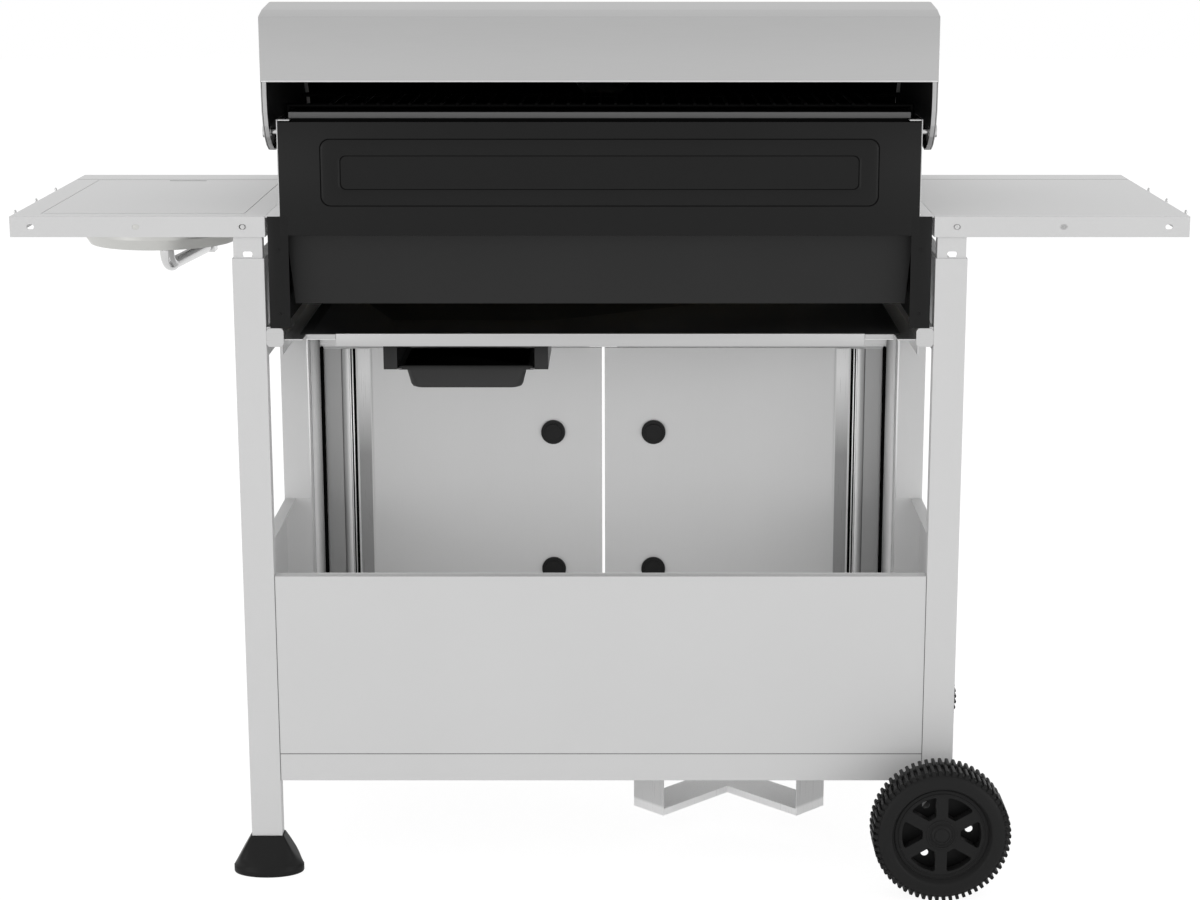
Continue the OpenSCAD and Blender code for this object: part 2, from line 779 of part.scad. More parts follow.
// Folded panel in front of the legs, with returns to their front faces
module control_panel() {
    outer = half_w;
    bend = 8;
    face = [[cart_d + 0.1, panel_top], [panel_front - bend, panel_top]];
    arc = [for (a = [75 : -15 : 0]) [panel_front - bend + bend * cos(a), panel_top - bend + bend * sin(a)]];
    foot_line = [[panel_front, panel_z], [cart_d + 0.1, panel_z], [cart_d + 0.1, panel_z + sheet],
        [panel_front - sheet, panel_z + sheet]];
    arc_in = [for (a = [0 : 15 : 75])
        [panel_front - bend + (bend - sheet) * cos(a), panel_top - bend + (bend - sheet) * sin(a)]];
    back = [[panel_front - bend, panel_top - sheet], [cart_d + 0.1, panel_top - sheet]];
    color("lightgray") difference() {
        union() {
            along_x([-outer, outer]) polygon(placed(concat(face, arc, foot_line, arc_in, back)));
            both_sides() {
                slab([outer - sheet, outer], [cart_d + 0.1, panel_front - sheet / 2], [panel_z, panel_top - bend]);
                slab([outer - sheet, outer], [cart_d + 0.1, panel_front - bend], [panel_z, panel_top]);
                slab([leg_in + 4, outer], [cart_d + 0.1, cart_d + 0.1 + sheet], [panel_z, panel_top]);
            }
        }
        for (i = [0 : burner_count - 1])
            rod_y(burner_x(i), [panel_front - 3, panel_front + 1], burner_z, stem_r + 1.5);
    }
}

module bezel(x, d, z) {
    difference() {
        rod_y(x, [d, d + bezel_t], z, bezel_r, 64);
        rod_y(x, [d - 1, d + bezel_t + 1], z, stem_r + 1.5);
        rod_y(x, [d + 1.5, d + bezel_t + 1], z, bezel_r - 4, 64);
    }
}

module knob_bezels() {
    color([0.8, 0.8, 0.8]) {
        for (i = [0 : burner_count - 1]) bezel(burner_x(i), panel_front, burner_z);
        bezel(side_knob_x, cart_d, side_knob_z);
    }
}

module stem(x, d, z) {
    color([0.75, 0.7, 0.55])
        rod_y(x, [d - sheet - valve_back + 7 + knob_push, d + bezel_t + knob_back + knob_l - 8], z, stem_r);
}

module knob(x, d, z) {
    base = d + bezel_t + knob_back;
    color([0.2, 0.2, 0.2]) difference() {
        union() {
            translate([x, Y(base), z]) rotate([90, 0, 0]) rotate_extrude($fn = 64) polygon([
                [0, 0], [knob_d / 2, 0], [knob_d / 2, 5], [knob_d / 2 - 4, 8], [knob_d / 2 - 5, knob_l - 3],
                [knob_d / 2 - 8, knob_l], [0, knob_l]
            ]);
            slab([x - 3, x + 3], [base + 4, base + knob_l], [z, z + knob_d / 2 - 1]);
        }
        rod_y(x, [base - 1, base + knob_l - 8 + gap], z, stem_r + run);
    }
}

// Hood

module hood_shell() {
    color([0.72, 0.72, 0.72]) along_x([-hood_half, hood_half])
        polygon(placed(concat(hood_line(0), reversed(hood_line(skin)))));
}

// The space inside the hood's outer face, for pieces that sit on the skin
module hood_solid() {
    along_x([-hood_half, hood_half]) polygon(placed(concat(hood_line(0), [[hinge_d, hood_edge]])));
}

module hood_cheeks() {
    color([0.72, 0.72, 0.72]) both_sides() difference() {
        union() {
            along_x([hood_half - plate, hood_half]) polygon(placed(cheek_line(skin)));
            difference() {
                along_x([hood_half - cheek_lip, hood_half]) polygon(placed(cheek_line(skin)));
                along_x([hood_half - cheek_lip - 1, hood_half + 1]) polygon(placed(cheek_line(skin + plate)));
            }
        }
        rod_x([hood_half - plate - 1, hood_half + 1], hinge_d, hinge_z, hinge_r + run);
    }
}

handle_post_x = handle_l / 2 - 40;
handle_post_r = 9;

module hood_handle_bar() {
    color("silver") difference() {
        rod_x([-handle_l / 2, handle_l / 2], handle_d, handle_z, handle_r, 64);
        both_sides() rod_y(handle_post_x, [handle_d - handle_r - 1, handle_d - handle_r + 5], handle_z,
            handle_post_r);
    }
}

module hood_handle_posts() {
    color([0.2, 0.2, 0.2]) both_sides() difference() {
        union() {
            rod_y(handle_post_x, [handle_d - handle_out - 8, handle_d - handle_r + 5], handle_z, handle_post_r);
            rod_y(handle_post_x, [handle_d - handle_out - 8, handle_d - handle_out + 5], handle_z,
                handle_post_r + 7);
        }
        hood_solid();
    }
}

// Dial on the front of the hood, square to the skin
gauge_z = shelf_z + 143;
gauge_r = 38;
gauge_t = 12;
module thermometer() {
    d = hood_depth_at(gauge_z);
    tilt = atan2((gauge_z - shelf_z) / pow(hood_h, 2), (d - crown_d) / pow(hood_d - crown_d, 2));
    color("silver") difference() {
        translate([0, Y(d), gauge_z]) rotate([90 - tilt, 0, 0]) {
            translate([0, 0, -6]) cylinder(h = gauge_t + 6, r = gauge_r, $fn = 72);
            translate([0, 0, -60]) cylinder(h = 60, r = 3.5, $fn = 24);
        }
        difference() {
            hood_solid();
            translate([0, Y(d), gauge_z]) rotate([90 - tilt, 0, 0]) translate([0, 0, -61])
                cylinder(h = 61, r = 3.5, $fn = 24);
        }
        translate([0, Y(d), gauge_z]) rotate([90 - tilt, 0, 0]) translate([0, 0, gauge_t - 2])
            cylinder(h = 5, r = gauge_r - 4, $fn = 72);
    }
}

module gauge_hole() {
    d = hood_depth_at(gauge_z);
    tilt = atan2((gauge_z - shelf_z) / pow(hood_h, 2), (d - crown_d) / pow(hood_d - crown_d, 2));
    translate([0, Y(d), gauge_z]) rotate([90 - tilt, 0, 0]) translate([0, 0, -30])
        cylinder(h = 60, r = 3.5 + run, $fn = 24);
}

// Doors

// Outer skin with a box edge; its outer side laps in front of the frame
module door_skin(s) {
    z = [door_z0, door_z1];
    pin_lug = 4;
    color("lightgray") on_side(s) difference() {
        union() {
            slab([door_gap, door_edge], [door_out_d - sheet, door_out_d], z);
            slab([door_gap, door_gap + sheet], [door_in_d + sheet, door_out_d], z);
            slab([door_box - sheet, door_box], [door_in_d, door_out_d], z);
            slab([strip_out + strip_gap, door_box], [door_in_d, door_in_d + sheet], z);
            for (k = [0, 1]) {
                edge = k == 0 ? [z[0], z[0] + sheet] : [z[1] - sheet, z[1]];
                slab([door_gap, door_box], [door_in_d + sheet, door_out_d], edge);
                slab([door_box - 1, door_pin_x + pin_lug], [door_pin_d - pin_lug, door_out_d], edge);
            }
        }
        for (k = [z[0], z[1]]) rod_z(door_pin_x, door_pin_d, [k - 3, k + 3], door_pin_r + run);
        for (k = [handle_low, handle_high])
            rod_y(door_handle_x, [door_out_d - 3, door_out_d + 1], k, 3 + gap);
    }
}

// Satin liner across the door's back, with a raised strip along its outer side
module door_liner(s) {
    z = [door_z0, door_z1];
    step = 1.5;
    color([0.7, 0.7, 0.7]) on_side(s) difference() {
        union() {
            slab([door_gap, liner_half], [door_in_d, door_in_d + sheet], z);
            slab([liner_half - sheet, liner_half], [door_in_d - step, door_in_d + sheet], z);
            slab([liner_half, strip_out], [door_in_d - step, door_in_d - step + sheet], z);
            slab([strip_out - sheet, strip_out], [door_in_d - step, door_out_d - sheet - gap],
                [z[0] + 2, z[1] - 2]);
        }
        for (k = [handle_low, handle_high])
            rod_y(door_handle_x, [door_in_d - 3, door_in_d + 3], k, 3 + gap);
    }
}

// Bar, two posts bolted through the door and a cap over each bolt inside
module door_handle(s) {
    reach = 34;
    bar_over = 16;
    cap_r = 17.5;
    color([0.25, 0.25, 0.25]) on_side(s) {
        rod_z(door_handle_x, door_out_d + reach, [handle_low - bar_over, handle_high + bar_over], door_handle_r);
        for (z = [handle_low, handle_high]) {
            rod_y(door_handle_x, [door_out_d, door_out_d + reach], z, 6);
            rod_y(door_handle_x, [door_in_d - 2, door_out_d + 1], z, 3);
            rod_y(door_handle_x, [door_in_d - 4, door_in_d], z, cap_r, 56);
            rod_y(door_handle_x, [door_in_d - 5.5, door_in_d - 3], z, cap_r - 5, 56);
        }
    }
}

// Shelves

slot_z_fascia = 13;
bracket_slot_z = leg_top + 5;

// A shelf with its edges and the two brackets that enter the legs
module shelf_frame(s) {
    t = sheet;
    bracket_in = leg_in + leg_wall + gap;
    bracket_out = half_w - leg_wall - gap;
    sleeve_z = leg_top - 60;
    on_side(s) difference() {
        union() {
            slab([shelf_in, shelf_out], [0, cart_d], [shelf_z - t, shelf_z]);
            slab([shelf_in, shelf_out], [0, t], [shelf_z - shelf_edge, shelf_z]);
            slab([shelf_in, shelf_out], [cart_d - t, cart_d], [shelf_z - shelf_front, shelf_z]);
            slab([shelf_out - t, shelf_out], [0, cart_d], [shelf_z - shelf_edge, shelf_z]);
            slab([shelf_in, shelf_in + t], [0, cart_d], [shelf_z - shelf_edge, shelf_z]);
            slab([bracket_in, bracket_out], [leg_wall + gap, leg_wall + gap + t], [sleeve_z, shelf_z]);
            for (x = [bracket_in, bracket_out - t])
                slab([x, x + t], [leg_wall + gap, leg_rear_d - leg_wall - gap], [sleeve_z, shelf_z]);
            slab([bracket_in, bracket_out], [cart_d - leg_wall - gap - t, cart_d - leg_wall - gap],
                [sleeve_z, shelf_z]);
            for (x = [bracket_in, bracket_out - t])
                slab([x, x + t], [cart_d - leg_front_d + leg_wall + gap, cart_d - leg_wall - gap],
                    [sleeve_z, shelf_z]);
        }
        for (x = [shelf_out - 26, (shelf_in + shelf_out) / 2 + 2, shelf_in + 28])
            through_d([-1, leg_rear_d]) translate([x, shelf_z - slot_z_fascia]) slot_2d(9.2, 6.4);
        through_d([-1, leg_rear_d]) translate([half_w - 19.5, bracket_slot_z]) {
            translate([0, 0.5]) slot_2d(12.5, 6.5);
            translate([-5.5, -3.5]) square([11, 3]);
        }
        slab([leg_in - gap, half_w + gap], [cart_d - sheet - 0.1, cart_d + 1],
            [shelf_z - shelf_front - 1, leg_top + gap]);
    }
}

module shelf_left() {
    color("gainsboro") shelf_frame(-1);
}

// The right shelf carries a sunk tray for the side burner
module shelf_right() {
    side = 1;
    wall = sheet;
    rear_room = 3;
    cut = [lid_in - side, lid_in + lid_w + side, lid_rear - rear_room, lid_rear + lid_d + side];
    color("gainsboro") difference() {
        union() {
            difference() {
                shelf_frame(1);
                slab([cut[0], cut[1]], [cut[2], cut[3]], [shelf_z - 2 * sheet, shelf_z + 1]);
            }
            difference() {
                slab([cut[0] - wall, cut[1] + wall], [cut[2] - wall, cut[3] + wall],
                    [recess_z - sheet, shelf_z]);
                slab([cut[0], cut[1]], [cut[2], cut[3]], [recess_z, shelf_z + 1]);
            }
        }
        rod_z(bowl_x, bowl_d, [recess_z - 5, recess_z + 5], bowl_r + gap, 96);
        rod_x([cut[0] - 5, cut[1] + 5], lid_pin_d, lid_pin_z, lid_pin_r + run);
        rod_y(side_knob_x, [cart_d - 5, cart_d + 1], side_knob_z, stem_r + 1.5);
    }
}

lid_pin_d = lid_rear + 5;
lid_pin_z = shelf_z - 5;
lid_pin_r = 1.5;

module burner_lid() {
    x = [lid_in, lid_in + lid_w];
    d = [lid_rear, lid_rear + lid_d];
    z = [shelf_z - lid_skirt, shelf_z];
    notch_x = x[0] + 130;
    color("gainsboro") difference() {
        slab(x, d, z);
        slab([x[0] + sheet, x[1] - sheet], [d[0] + sheet, d[1] - sheet], [z[0] - 1, z[1] - sheet]);
        slab([notch_x - 26, notch_x + 26], [d[1] - 7, d[1] + 1], [z[0] - 1, z[1] + 1]);
        rod_x([x[0] - 1, x[1] + 1], lid_pin_d, lid_pin_z, lid_pin_r + run);
    }
}

module burner_bowl() {
    rim_z = recess_z;
    floor_r = bowl_r - 12;
    t = 1.2;
    color("silver") difference() {
        translate([bowl_x, Y(bowl_d), 0]) rotate_extrude($fn = 96) polygon([
            [0, rim_z - bowl_h], [floor_r, rim_z - bowl_h], [bowl_r - 3, rim_z - bowl_h + 14],
            [bowl_r, rim_z - 2], [bowl_r, rim_z], [bowl_r + 6, rim_z], [bowl_r + 6, rim_z + t],
            [bowl_r - t, rim_z + t], [bowl_r - t, rim_z - 2], [bowl_r - 3 - t, rim_z - bowl_h + 14],
            [floor_r - 1, rim_z - bowl_h + t], [0, rim_z - bowl_h + t]
        ]);
        rod_z(supply_x, supply_d, [rim_z - bowl_h - 1, rim_z - bowl_h + 3], supply_r + gap);
    }
}

// Ring burner on a venturi that drops through the bowl, turns and runs to its valve
module side_burner() {
    head_z = recess_z - bowl_h + 16;
    head_r = 42;
    head_h = 14;
    valve_d = cart_d - sheet;
    spud_l = 12;
    sleeve = 1;
    lap = 3;
    mouth_d = valve_d - side_valve_d - spud_l;
    aim = atan2(side_knob_x - supply_x, mouth_d - supply_d);
    run_l = (mouth_d - supply_d) / cos(aim) - supply_bend;
    color([0.78, 0.78, 0.76]) difference() {
        union() {
            rod_z(bowl_x, bowl_d, [head_z, head_z + head_h], head_r, 72);
            rod_z(bowl_x, bowl_d, [head_z + head_h, head_z + head_h + 4], head_r - 10, 72);
            rod_z(supply_x, supply_d, [supply_z + supply_bend - lap, head_z + 2], supply_r);
            translate([supply_x, Y(supply_d), supply_z + supply_bend]) rotate([0, 0, aim]) {
                translate([0, -supply_bend, 0]) rotate([0, 90, 0])
                    rotate_extrude(angle = 90, $fn = 64) translate([supply_bend, 0])
                        circle(supply_r + sleeve, $fn = 48);
                translate([0, lap - supply_bend, -supply_bend]) rotate([90, 0, 0])
                    cylinder(h = run_l + lap, r = supply_r, $fn = 48);
            }
        }
        for (a = [0 : 15 : 345]) translate([bowl_x, Y(bowl_d), head_z + 9]) rotate([0, 90, a])
            translate([0, 0, head_r - 4]) cylinder(h = 6, r = 1.3, $fn = 16);
    }
    color([0.72, 0.66, 0.5]) difference() {
        union() {
            slab([side_knob_x - 11, side_knob_x + 11], [valve_d - side_valve_d, valve_d],
                [supply_z - 9, side_knob_z + 13]);
            rod_y(side_knob_x, [mouth_d - 8, valve_d - side_valve_d], supply_z, 6, 32);
        }
        rod_y(side_knob_x, [valve_d - side_valve_d + 3, valve_d + 1], side_knob_z, stem_r + run, 40);
    }
}

// Wire pan support that rests on the bowl's rim
module pan_support() {
    wire = 2.2;
    z = recess_z + 1.2 + wire;
    color([0.2, 0.2, 0.2]) translate([bowl_x, Y(bowl_d), z]) {
        rotate_extrude($fn = 72) translate([bowl_r - 2, 0]) circle(wire, $fn = 20);
        for (a = [0 : 60 : 300]) rotate(a) translate([30, 0, 0]) rotate([0, 90, 0])
            cylinder(h = bowl_r - 32, r = wire, $fn = 20);
        rotate_extrude($fn = 72) translate([30, 0]) circle(wire, $fn = 20);
    }
}

// Three wire hooks on each shelf's outer edge
module tool_hooks() {
    wire = 1.8;
    z = shelf_z - 15;
    x = shelf_out + hook_reach - wire;
    color("silver") both_sides() for (i = [-1 : 1]) {
        d = cart_d / 2 + i * hook_pitch;
        rod_x([shelf_out, x], d, z, wire, 24);
        translate([x, Y(d), z]) sphere(wire, $fn = 24);
        rod_z(x, d, [z, z + 10], wire, 24);
        rod_x([shelf_out, shelf_out + 2], d, z, 5, 32);
    }
}

// Grease

tray_rear = 30;
tray_front = cart_d - 29;
tray_floor_z = tray_z - 28;

module drip_tray() {
    t = sheet;
    rim = [-tray_half + 12, tray_half - 12, tray_rear + 4, tray_front - 3];
    well = [cup_x - cup_bracket_w / 2 - 4, cup_x + cup_bracket_w / 2 + 4, cup_d0 - 10, cup_d0 + cup_l + 40];
    color([0.16, 0.16, 0.16]) difference() {
        union() {
            slab([-tray_half, tray_half], [tray_rear + 4, tray_front], [tray_z - t, tray_z]);
            taper(rim, well, [tray_floor_z, tray_z - t]);
            slab([-tray_half + 9, tray_half - 9], [tray_rear, tray_rear + t], [tray_z - 6, tray_z + 0.5]);
            slab([-tray_lip_half, tray_lip_half], [tray_rear, tray_rear + t], [tray_z - 15.5, tray_z + 0.5]);
            slab([-tray_half + 9, tray_half - 9], [tray_rear, tray_rear + 5], [tray_z - t, tray_z]);
        }
        taper(grown(rim, -t), grown(well, -t), [tray_floor_z + t, tray_z + 0.5]);
        rod_z(cup_x, cup_d0 + cup_l / 2, [tray_floor_z - 1, tray_floor_z + t + 1], 11);
    }
}

// Channel rails under the tray, open to the rear, that the cup's rim slides on
module cup_bracket() {
    half = cup_bracket_w / 2;
    d = [cup_d0, cup_d0 + cup_l + 12];
    z = [cup_rim_z - 4, tray_floor_z];
    color([0.15, 0.15, 0.15]) translate([cup_x, 0, 0]) {
        both_sides() {
            slab([half - plate, half], d, z);
            slab([half - 24, half], d, [z[1] - plate, z[1]]);
            slab([cup_w / 2 - 5, half], d, [z[0], z[0] + plate]);
        }
        slab([-half, half], [d[1] - plate, d[1]], z);
    }
}

module cup_block(half_top, half_bottom, depth, z, inset) {
    r = 9;
    hull() for (level = [[half_top, z[1] - 0.5, 0], [half_bottom, z[0], tub_taper]], x = [-1, 1], k = [0, 1]) {
        d = k == 0 ? depth[0] + inset + level[2] + r : depth[1] - inset - level[2] - r;
        rod_z(cup_x + x * (level[0] - r), d, [level[1], level[1] + 0.5], r, 24);
    }
}

module grease_cup() {
    rim_t = 2.4;
    rim_z = cup_rim_z - 4 + plate + gap;
    depth = [cup_d0 + 2, cup_d0 + 2 + cup_l];
    body = cup_w / 2 - 10;
    floor_half = cup_w / 2 - 16.5;
    z = [rim_z - cup_h, rim_z + rim_t];
    color([0.13, 0.13, 0.13]) difference() {
        union() {
            cup_block(body, floor_half, depth, z, 3);
            slab([cup_x - cup_w / 2, cup_x + cup_w / 2], depth, [rim_z, rim_z + rim_t]);
        }
        cup_block(body - plate, floor_half - plate, depth, [z[0] + plate, z[1] + 1], 3 + plate);
        rod_y(cup_x + 36, [depth[0] - 1, depth[0] + 2], rim_z + rim_t / 2, 0.8, 16);
    }
}

// Hinge bolts of the hood, door pins, lid pins and the screws that show
module fasteners() {
    color("silver") {
        both_sides() {
            rod_x([side_in - 4, hood_half + gap + 0.5], hinge_d, hinge_z, hinge_r);
            rod_x([side_in - 4.5, side_in], hinge_d, hinge_z, 7, 6);
            rod_x([side_out, side_out + 4], hinge_d, hinge_z, 7, 6);
            rod_x([hood_half - plate - gap - 4, hood_half - plate - gap], hinge_d, hinge_z, 7, 6);
            rod_x([hood_half + gap, hood_half + gap + 3.5], hinge_d, hinge_z, 8, 40);
        }
        both_sides() {
            rod_z(door_pin_x, door_pin_d, [base_top - sheet - 3, door_z0 + 6], door_pin_r);
            rod_z(door_pin_x, door_pin_d, [base_top - sheet - 3, base_top - sheet], door_pin_r + 2);
            rod_z(door_pin_x, door_pin_d, [door_z1 - 6, rail_z + plate + 2], door_pin_r);
            rod_z(door_pin_x, door_pin_d, [rail_z + plate, rail_z + plate + 2], door_pin_r + 2);
        }
        for (x = [[lid_in - 4, lid_in + 4], [lid_in + lid_w - 4, lid_in + lid_w + 4]])
            rod_x(x, lid_pin_d, lid_pin_z, lid_pin_r);
        both_sides() for (z = [panel_z + 20, panel_top - 24]) rod_y(leg_in + 14, [cart_d + 0.1 + sheet,
            cart_d + 4], z, 4.5, 6);
    }
}

leg_rear_left();
leg_rear_right();
leg_front_left();
leg_front_right();
feet();
bottom_shelf();
rear_panel();
side_panels_lower();
side_panels_upper();
front_frame();
tray_runners();
tank_cradle();
axle_rod();
wheel_front();
wheel_rear();
back_plate();
rear_rail();
firebox_side(-1);  // firebox_side_left
firebox_side(1);  // firebox_side_right
firebox_tub();
burner_tubes();
heat_tents();
grate(-1);  // grate_left
grate(1);  // grate_right
warming_rack();
manifold();
control_panel();
knob_bezels();
stem(burner_x(0), panel_front, burner_z);  // valve_stem_1
stem(burner_x(1), panel_front, burner_z);  // valve_stem_2
stem(burner_x(2), panel_front, burner_z);  // valve_stem_3
stem(burner_x(3), panel_front, burner_z);  // valve_stem_4
stem(side_knob_x, cart_d, side_knob_z);  // valve_stem_side
knob(burner_x(0), panel_front, burner_z);  // knob_1
knob(burner_x(1), panel_front, burner_z);  // knob_2
knob(burner_x(2), panel_front, burner_z);  // knob_3
knob(burner_x(3), panel_front, burner_z);  // knob_4
knob(side_knob_x, cart_d, side_knob_z);  // knob_side
difference() {
    hood_shell();
    gauge_hole();
}
hood_cheeks();
hood_handle_bar();
hood_handle_posts();
thermometer();
door_skin(-1);  // door_left
door_skin(1);  // door_right
door_liner(-1);  // door_liner_left
door_liner(1);  // door_liner_right
door_handle(-1);  // door_handle_left
door_handle(1);  // door_handle_right
shelf_left();
shelf_right();
burner_lid();
burner_bowl();
side_burner();
pan_support();
tool_hooks();
drip_tray();
cup_bracket();
grease_cup();
fasteners();
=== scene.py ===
"""Dresses the gas grill: finishes for metal, plastic and castings, and rounded pieces over its solids."""

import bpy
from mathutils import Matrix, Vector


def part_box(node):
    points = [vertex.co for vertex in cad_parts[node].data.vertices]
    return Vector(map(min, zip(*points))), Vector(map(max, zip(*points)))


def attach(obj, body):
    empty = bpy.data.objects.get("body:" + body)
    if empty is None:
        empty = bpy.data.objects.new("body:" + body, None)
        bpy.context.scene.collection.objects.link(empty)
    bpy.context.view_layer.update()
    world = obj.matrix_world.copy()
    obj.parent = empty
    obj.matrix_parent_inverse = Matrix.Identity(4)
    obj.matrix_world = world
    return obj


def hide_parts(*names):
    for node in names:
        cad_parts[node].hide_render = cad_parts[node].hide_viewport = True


bl_info = {
    "name": "Gas Grill Dressing",
    "version": (1, 0, 0),
    "blender": (4, 5, 0),
    "location": "View3D > Sidebar > Grill",
    "description": "Finishes and rounded pieces for a gas grill on a cart, with its studio",
    "category": "Object",
}

from math import acos, cos, pi, radians, sin, tau

import bmesh
import bpy
from bpy.props import FloatProperty, FloatVectorProperty, PointerProperty
from mathutils import Euler, Matrix, Vector

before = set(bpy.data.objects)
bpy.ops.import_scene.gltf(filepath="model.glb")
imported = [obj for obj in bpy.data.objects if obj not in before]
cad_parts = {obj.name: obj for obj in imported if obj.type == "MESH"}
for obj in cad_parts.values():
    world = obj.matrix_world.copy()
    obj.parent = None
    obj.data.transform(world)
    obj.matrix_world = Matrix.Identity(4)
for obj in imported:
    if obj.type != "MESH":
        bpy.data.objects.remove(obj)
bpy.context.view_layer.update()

MM = 0.001
# The frame brings plain materials that already have the record's names
PREFIX = "dressed_"


class Box:
    """The box of one or more nodes at rest, in millimetres: x, depth from the legs' rear faces, and z."""

    rear = max(corner.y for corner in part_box("leg_rear_left")) / MM

    def __init__(self, *names):
        boxes = [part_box(name) for name in names]
        low = [min(box[0][i] for box in boxes) / MM for i in range(3)]
        high = [max(box[1][i] for box in boxes) / MM for i in range(3)]
        self.x = (low[0], high[0])
        self.d = (Box.rear - high[1], Box.rear - low[1])
        self.z = (low[2], high[2])

    def mid(self, axis):
        return sum(getattr(self, axis)) / 2

    def size(self, axis):
        low, high = getattr(self, axis)
        return high - low


def spot(x, d, z):
    """A point in metres, from a place in millimetres whose depth counts forwards from the legs' rear."""
    return Vector((x, Box.rear - d, z)) * MM


def facing(place, toward):
    """The matrix that takes the origin to a place in millimetres and turns the Z axis toward a direction."""
    return Matrix.Translation(spot(*place)) @ Vector(toward).to_track_quat("Z", "Y").to_matrix().to_4x4()


def beside(side, near, far):
    """A range of X on one side, from its distances to the middle plane."""
    return sorted((side * near, side * far))


LEG = Box("leg_rear_right")
SHELF = Box("shelf_left", "shelf_right")
HOOD = Box("hood_shell")
PLATE = Box("back_plate")
SHEET = 1.5


# Shader values that can be added and multiplied, and the materials built from them

class Wire:
    """A shader value. Sums on it add Math nodes."""

    def __init__(self, finish, socket):
        self.finish = finish
        self.socket = socket

    def math(self, operation, *values):
        return self.finish.node("ShaderNodeMath", {"operation": operation}, dict(enumerate(values)))

    def __add__(self, other):
        return self.math("ADD", self, other)

    def __sub__(self, other):
        return self.math("SUBTRACT", self, other)

    def __rsub__(self, other):
        return self.math("SUBTRACT", other, self)

    def __mul__(self, other):
        return self.math("MULTIPLY", self, other)

    def __lt__(self, other):
        return self.math("LESS_THAN", self, other)


class Finish:
    """A material, built on its Principled shader."""

    def __init__(self, name, colour, roughness, metallic=0.0, gloss=0.5):
        self.material = bpy.data.materials.new(PREFIX + name)
        self.material.use_nodes = True
        self.tree = self.material.node_tree
        self.shader = self.tree.nodes["Principled BSDF"]
        self.colour = (*colour, 1)
        self.roughness = roughness
        self.surface("Base Color", self.colour)
        self.surface("Roughness", roughness)
        self.surface("Metallic", metallic)
        self.surface("Specular IOR Level", gloss)

    def surface(self, socket, value):
        self.feed(self.shader.inputs[socket], value)

    def feed(self, socket, value):
        if isinstance(value, Wire):
            self.tree.links.new(value.socket, socket)
        else:
            socket.default_value = value

    def node(self, kind, settings=None, inputs=None, output=0):
        made = self.tree.nodes.new(kind)
        for key, value in (settings or {}).items():
            setattr(made, key, value)
        for key, value in (inputs or {}).items():
            self.feed(made.inputs[key], value)
        return Wire(self, made.outputs[output])

    def place(self, stretch=(1, 1, 1)):
        """Object coordinates, stretched."""
        coordinates = self.node("ShaderNodeTexCoord", output="Object")
        return self.node("ShaderNodeMapping", {"vector_type": "POINT"},
                         {"Vector": coordinates, "Scale": stretch})

    def axis(self, letter):
        """The distance from the middle along one axis of the object."""
        part = self.node("ShaderNodeSeparateXYZ", None, {"Vector": self.place()}, "XYZ".index(letter.upper()))
        return part.math("ABSOLUTE", part)

    def noise(self, scale, detail, stretch=(1, 1, 1)):
        return self.node("ShaderNodeTexNoise", None,
                         {"Vector": self.place(stretch), "Scale": scale, "Detail": detail})

    def scratches(self, along):
        """Long fine scratches along one axis."""
        return self.noise(1500, 3, tuple(0.01 if axis == along else 1.0 for axis in "xyz"))

    def blend(self, factor, first, second):
        return self.node("ShaderNodeMix", {"data_type": "RGBA"},
                         {"Factor": factor, 6: first, 7: second}, output=2)

    def tint(self, factor, amount):
        """The colour, lighter and darker by a share of itself as the factor goes from 0 to 1."""
        dark = tuple(value * (1 - amount) for value in self.colour[:3]) + (1,)
        light = tuple(min(1, value * (1 + amount)) for value in self.colour[:3]) + (1,)
        return self.blend(factor, dark, light)

    def sheen(self, noise, spread):
        """Lets the roughness wander about its own value, within a spread."""
        self.surface("Roughness", noise * spread + (self.roughness - spread / 2))

    def relief(self, height, distance, strength, edge=0.6):
        """Bumps of a height in millimetres, over normals that round every edge by a radius."""
        inputs = {"Height": height, "Distance": distance * MM, "Strength": strength}
        if edge:
            inputs["Normal"] = self.node("ShaderNodeBevel", {"samples": 4}, {"Radius": edge * MM})
        self.surface("Normal", self.node("ShaderNodeBump", None, inputs))


def enamel(name, colour, roughness, gloss, grain=0.05):
    """Sprayed or baked enamel: a faint orange peel, with soft clouds in its sheen."""
    finish = Finish(name, colour, roughness, gloss=gloss)
    clouds = finish.noise(6, 3)
    finish.surface("Base Color", finish.tint(clouds, grain))
    finish.sheen(clouds, 0.12)
    finish.relief(finish.noise(900, 1), 0.02, 0.4)


def brushed(name, colour, roughness, along, metallic=0.9, grain=0.06):
    """Steel brushed along one axis: long fine scratches in its colour, gloss and relief."""
    finish = Finish(name, colour, roughness, metallic)
    scratches = finish.scratches(along)
    finish.surface("Base Color", finish.tint(scratches * 0.6 + finish.noise(3, 2) * 0.4, grain))
    finish.sheen(scratches, 0.16)
    finish.relief(scratches, 0.01, 0.5)


def moulded(name, colour, roughness, gloss=0.3, texture=0.03):
    """Moulded plastic with a fine spark texture."""
    finish = Finish(name, colour, roughness, gloss=gloss)
    clouds = finish.noise(12, 2)
    finish.surface("Base Color", finish.tint(clouds, 0.12))
    finish.sheen(clouds, 0.14)
    finish.relief(finish.noise(1400, 2), texture, 0.6, 0.8)


def cast(name, colour):
    """Enamelled casting: pebbled skin, a little rust-brown in soft patches."""
    finish = Finish(name, colour, 0.55, gloss=0.3)
    pebbles = finish.noise(260, 4)
    brown = tuple(value * share for value, share in zip(colour, (1.5, 1.2, 1.0))) + (1,)
    finish.surface("Base Color", finish.blend(finish.noise(14, 3), finish.colour, brown))
    finish.sheen(pebbles, 0.3)
    finish.relief(pebbles, 0.3, 0.5, 1.2)


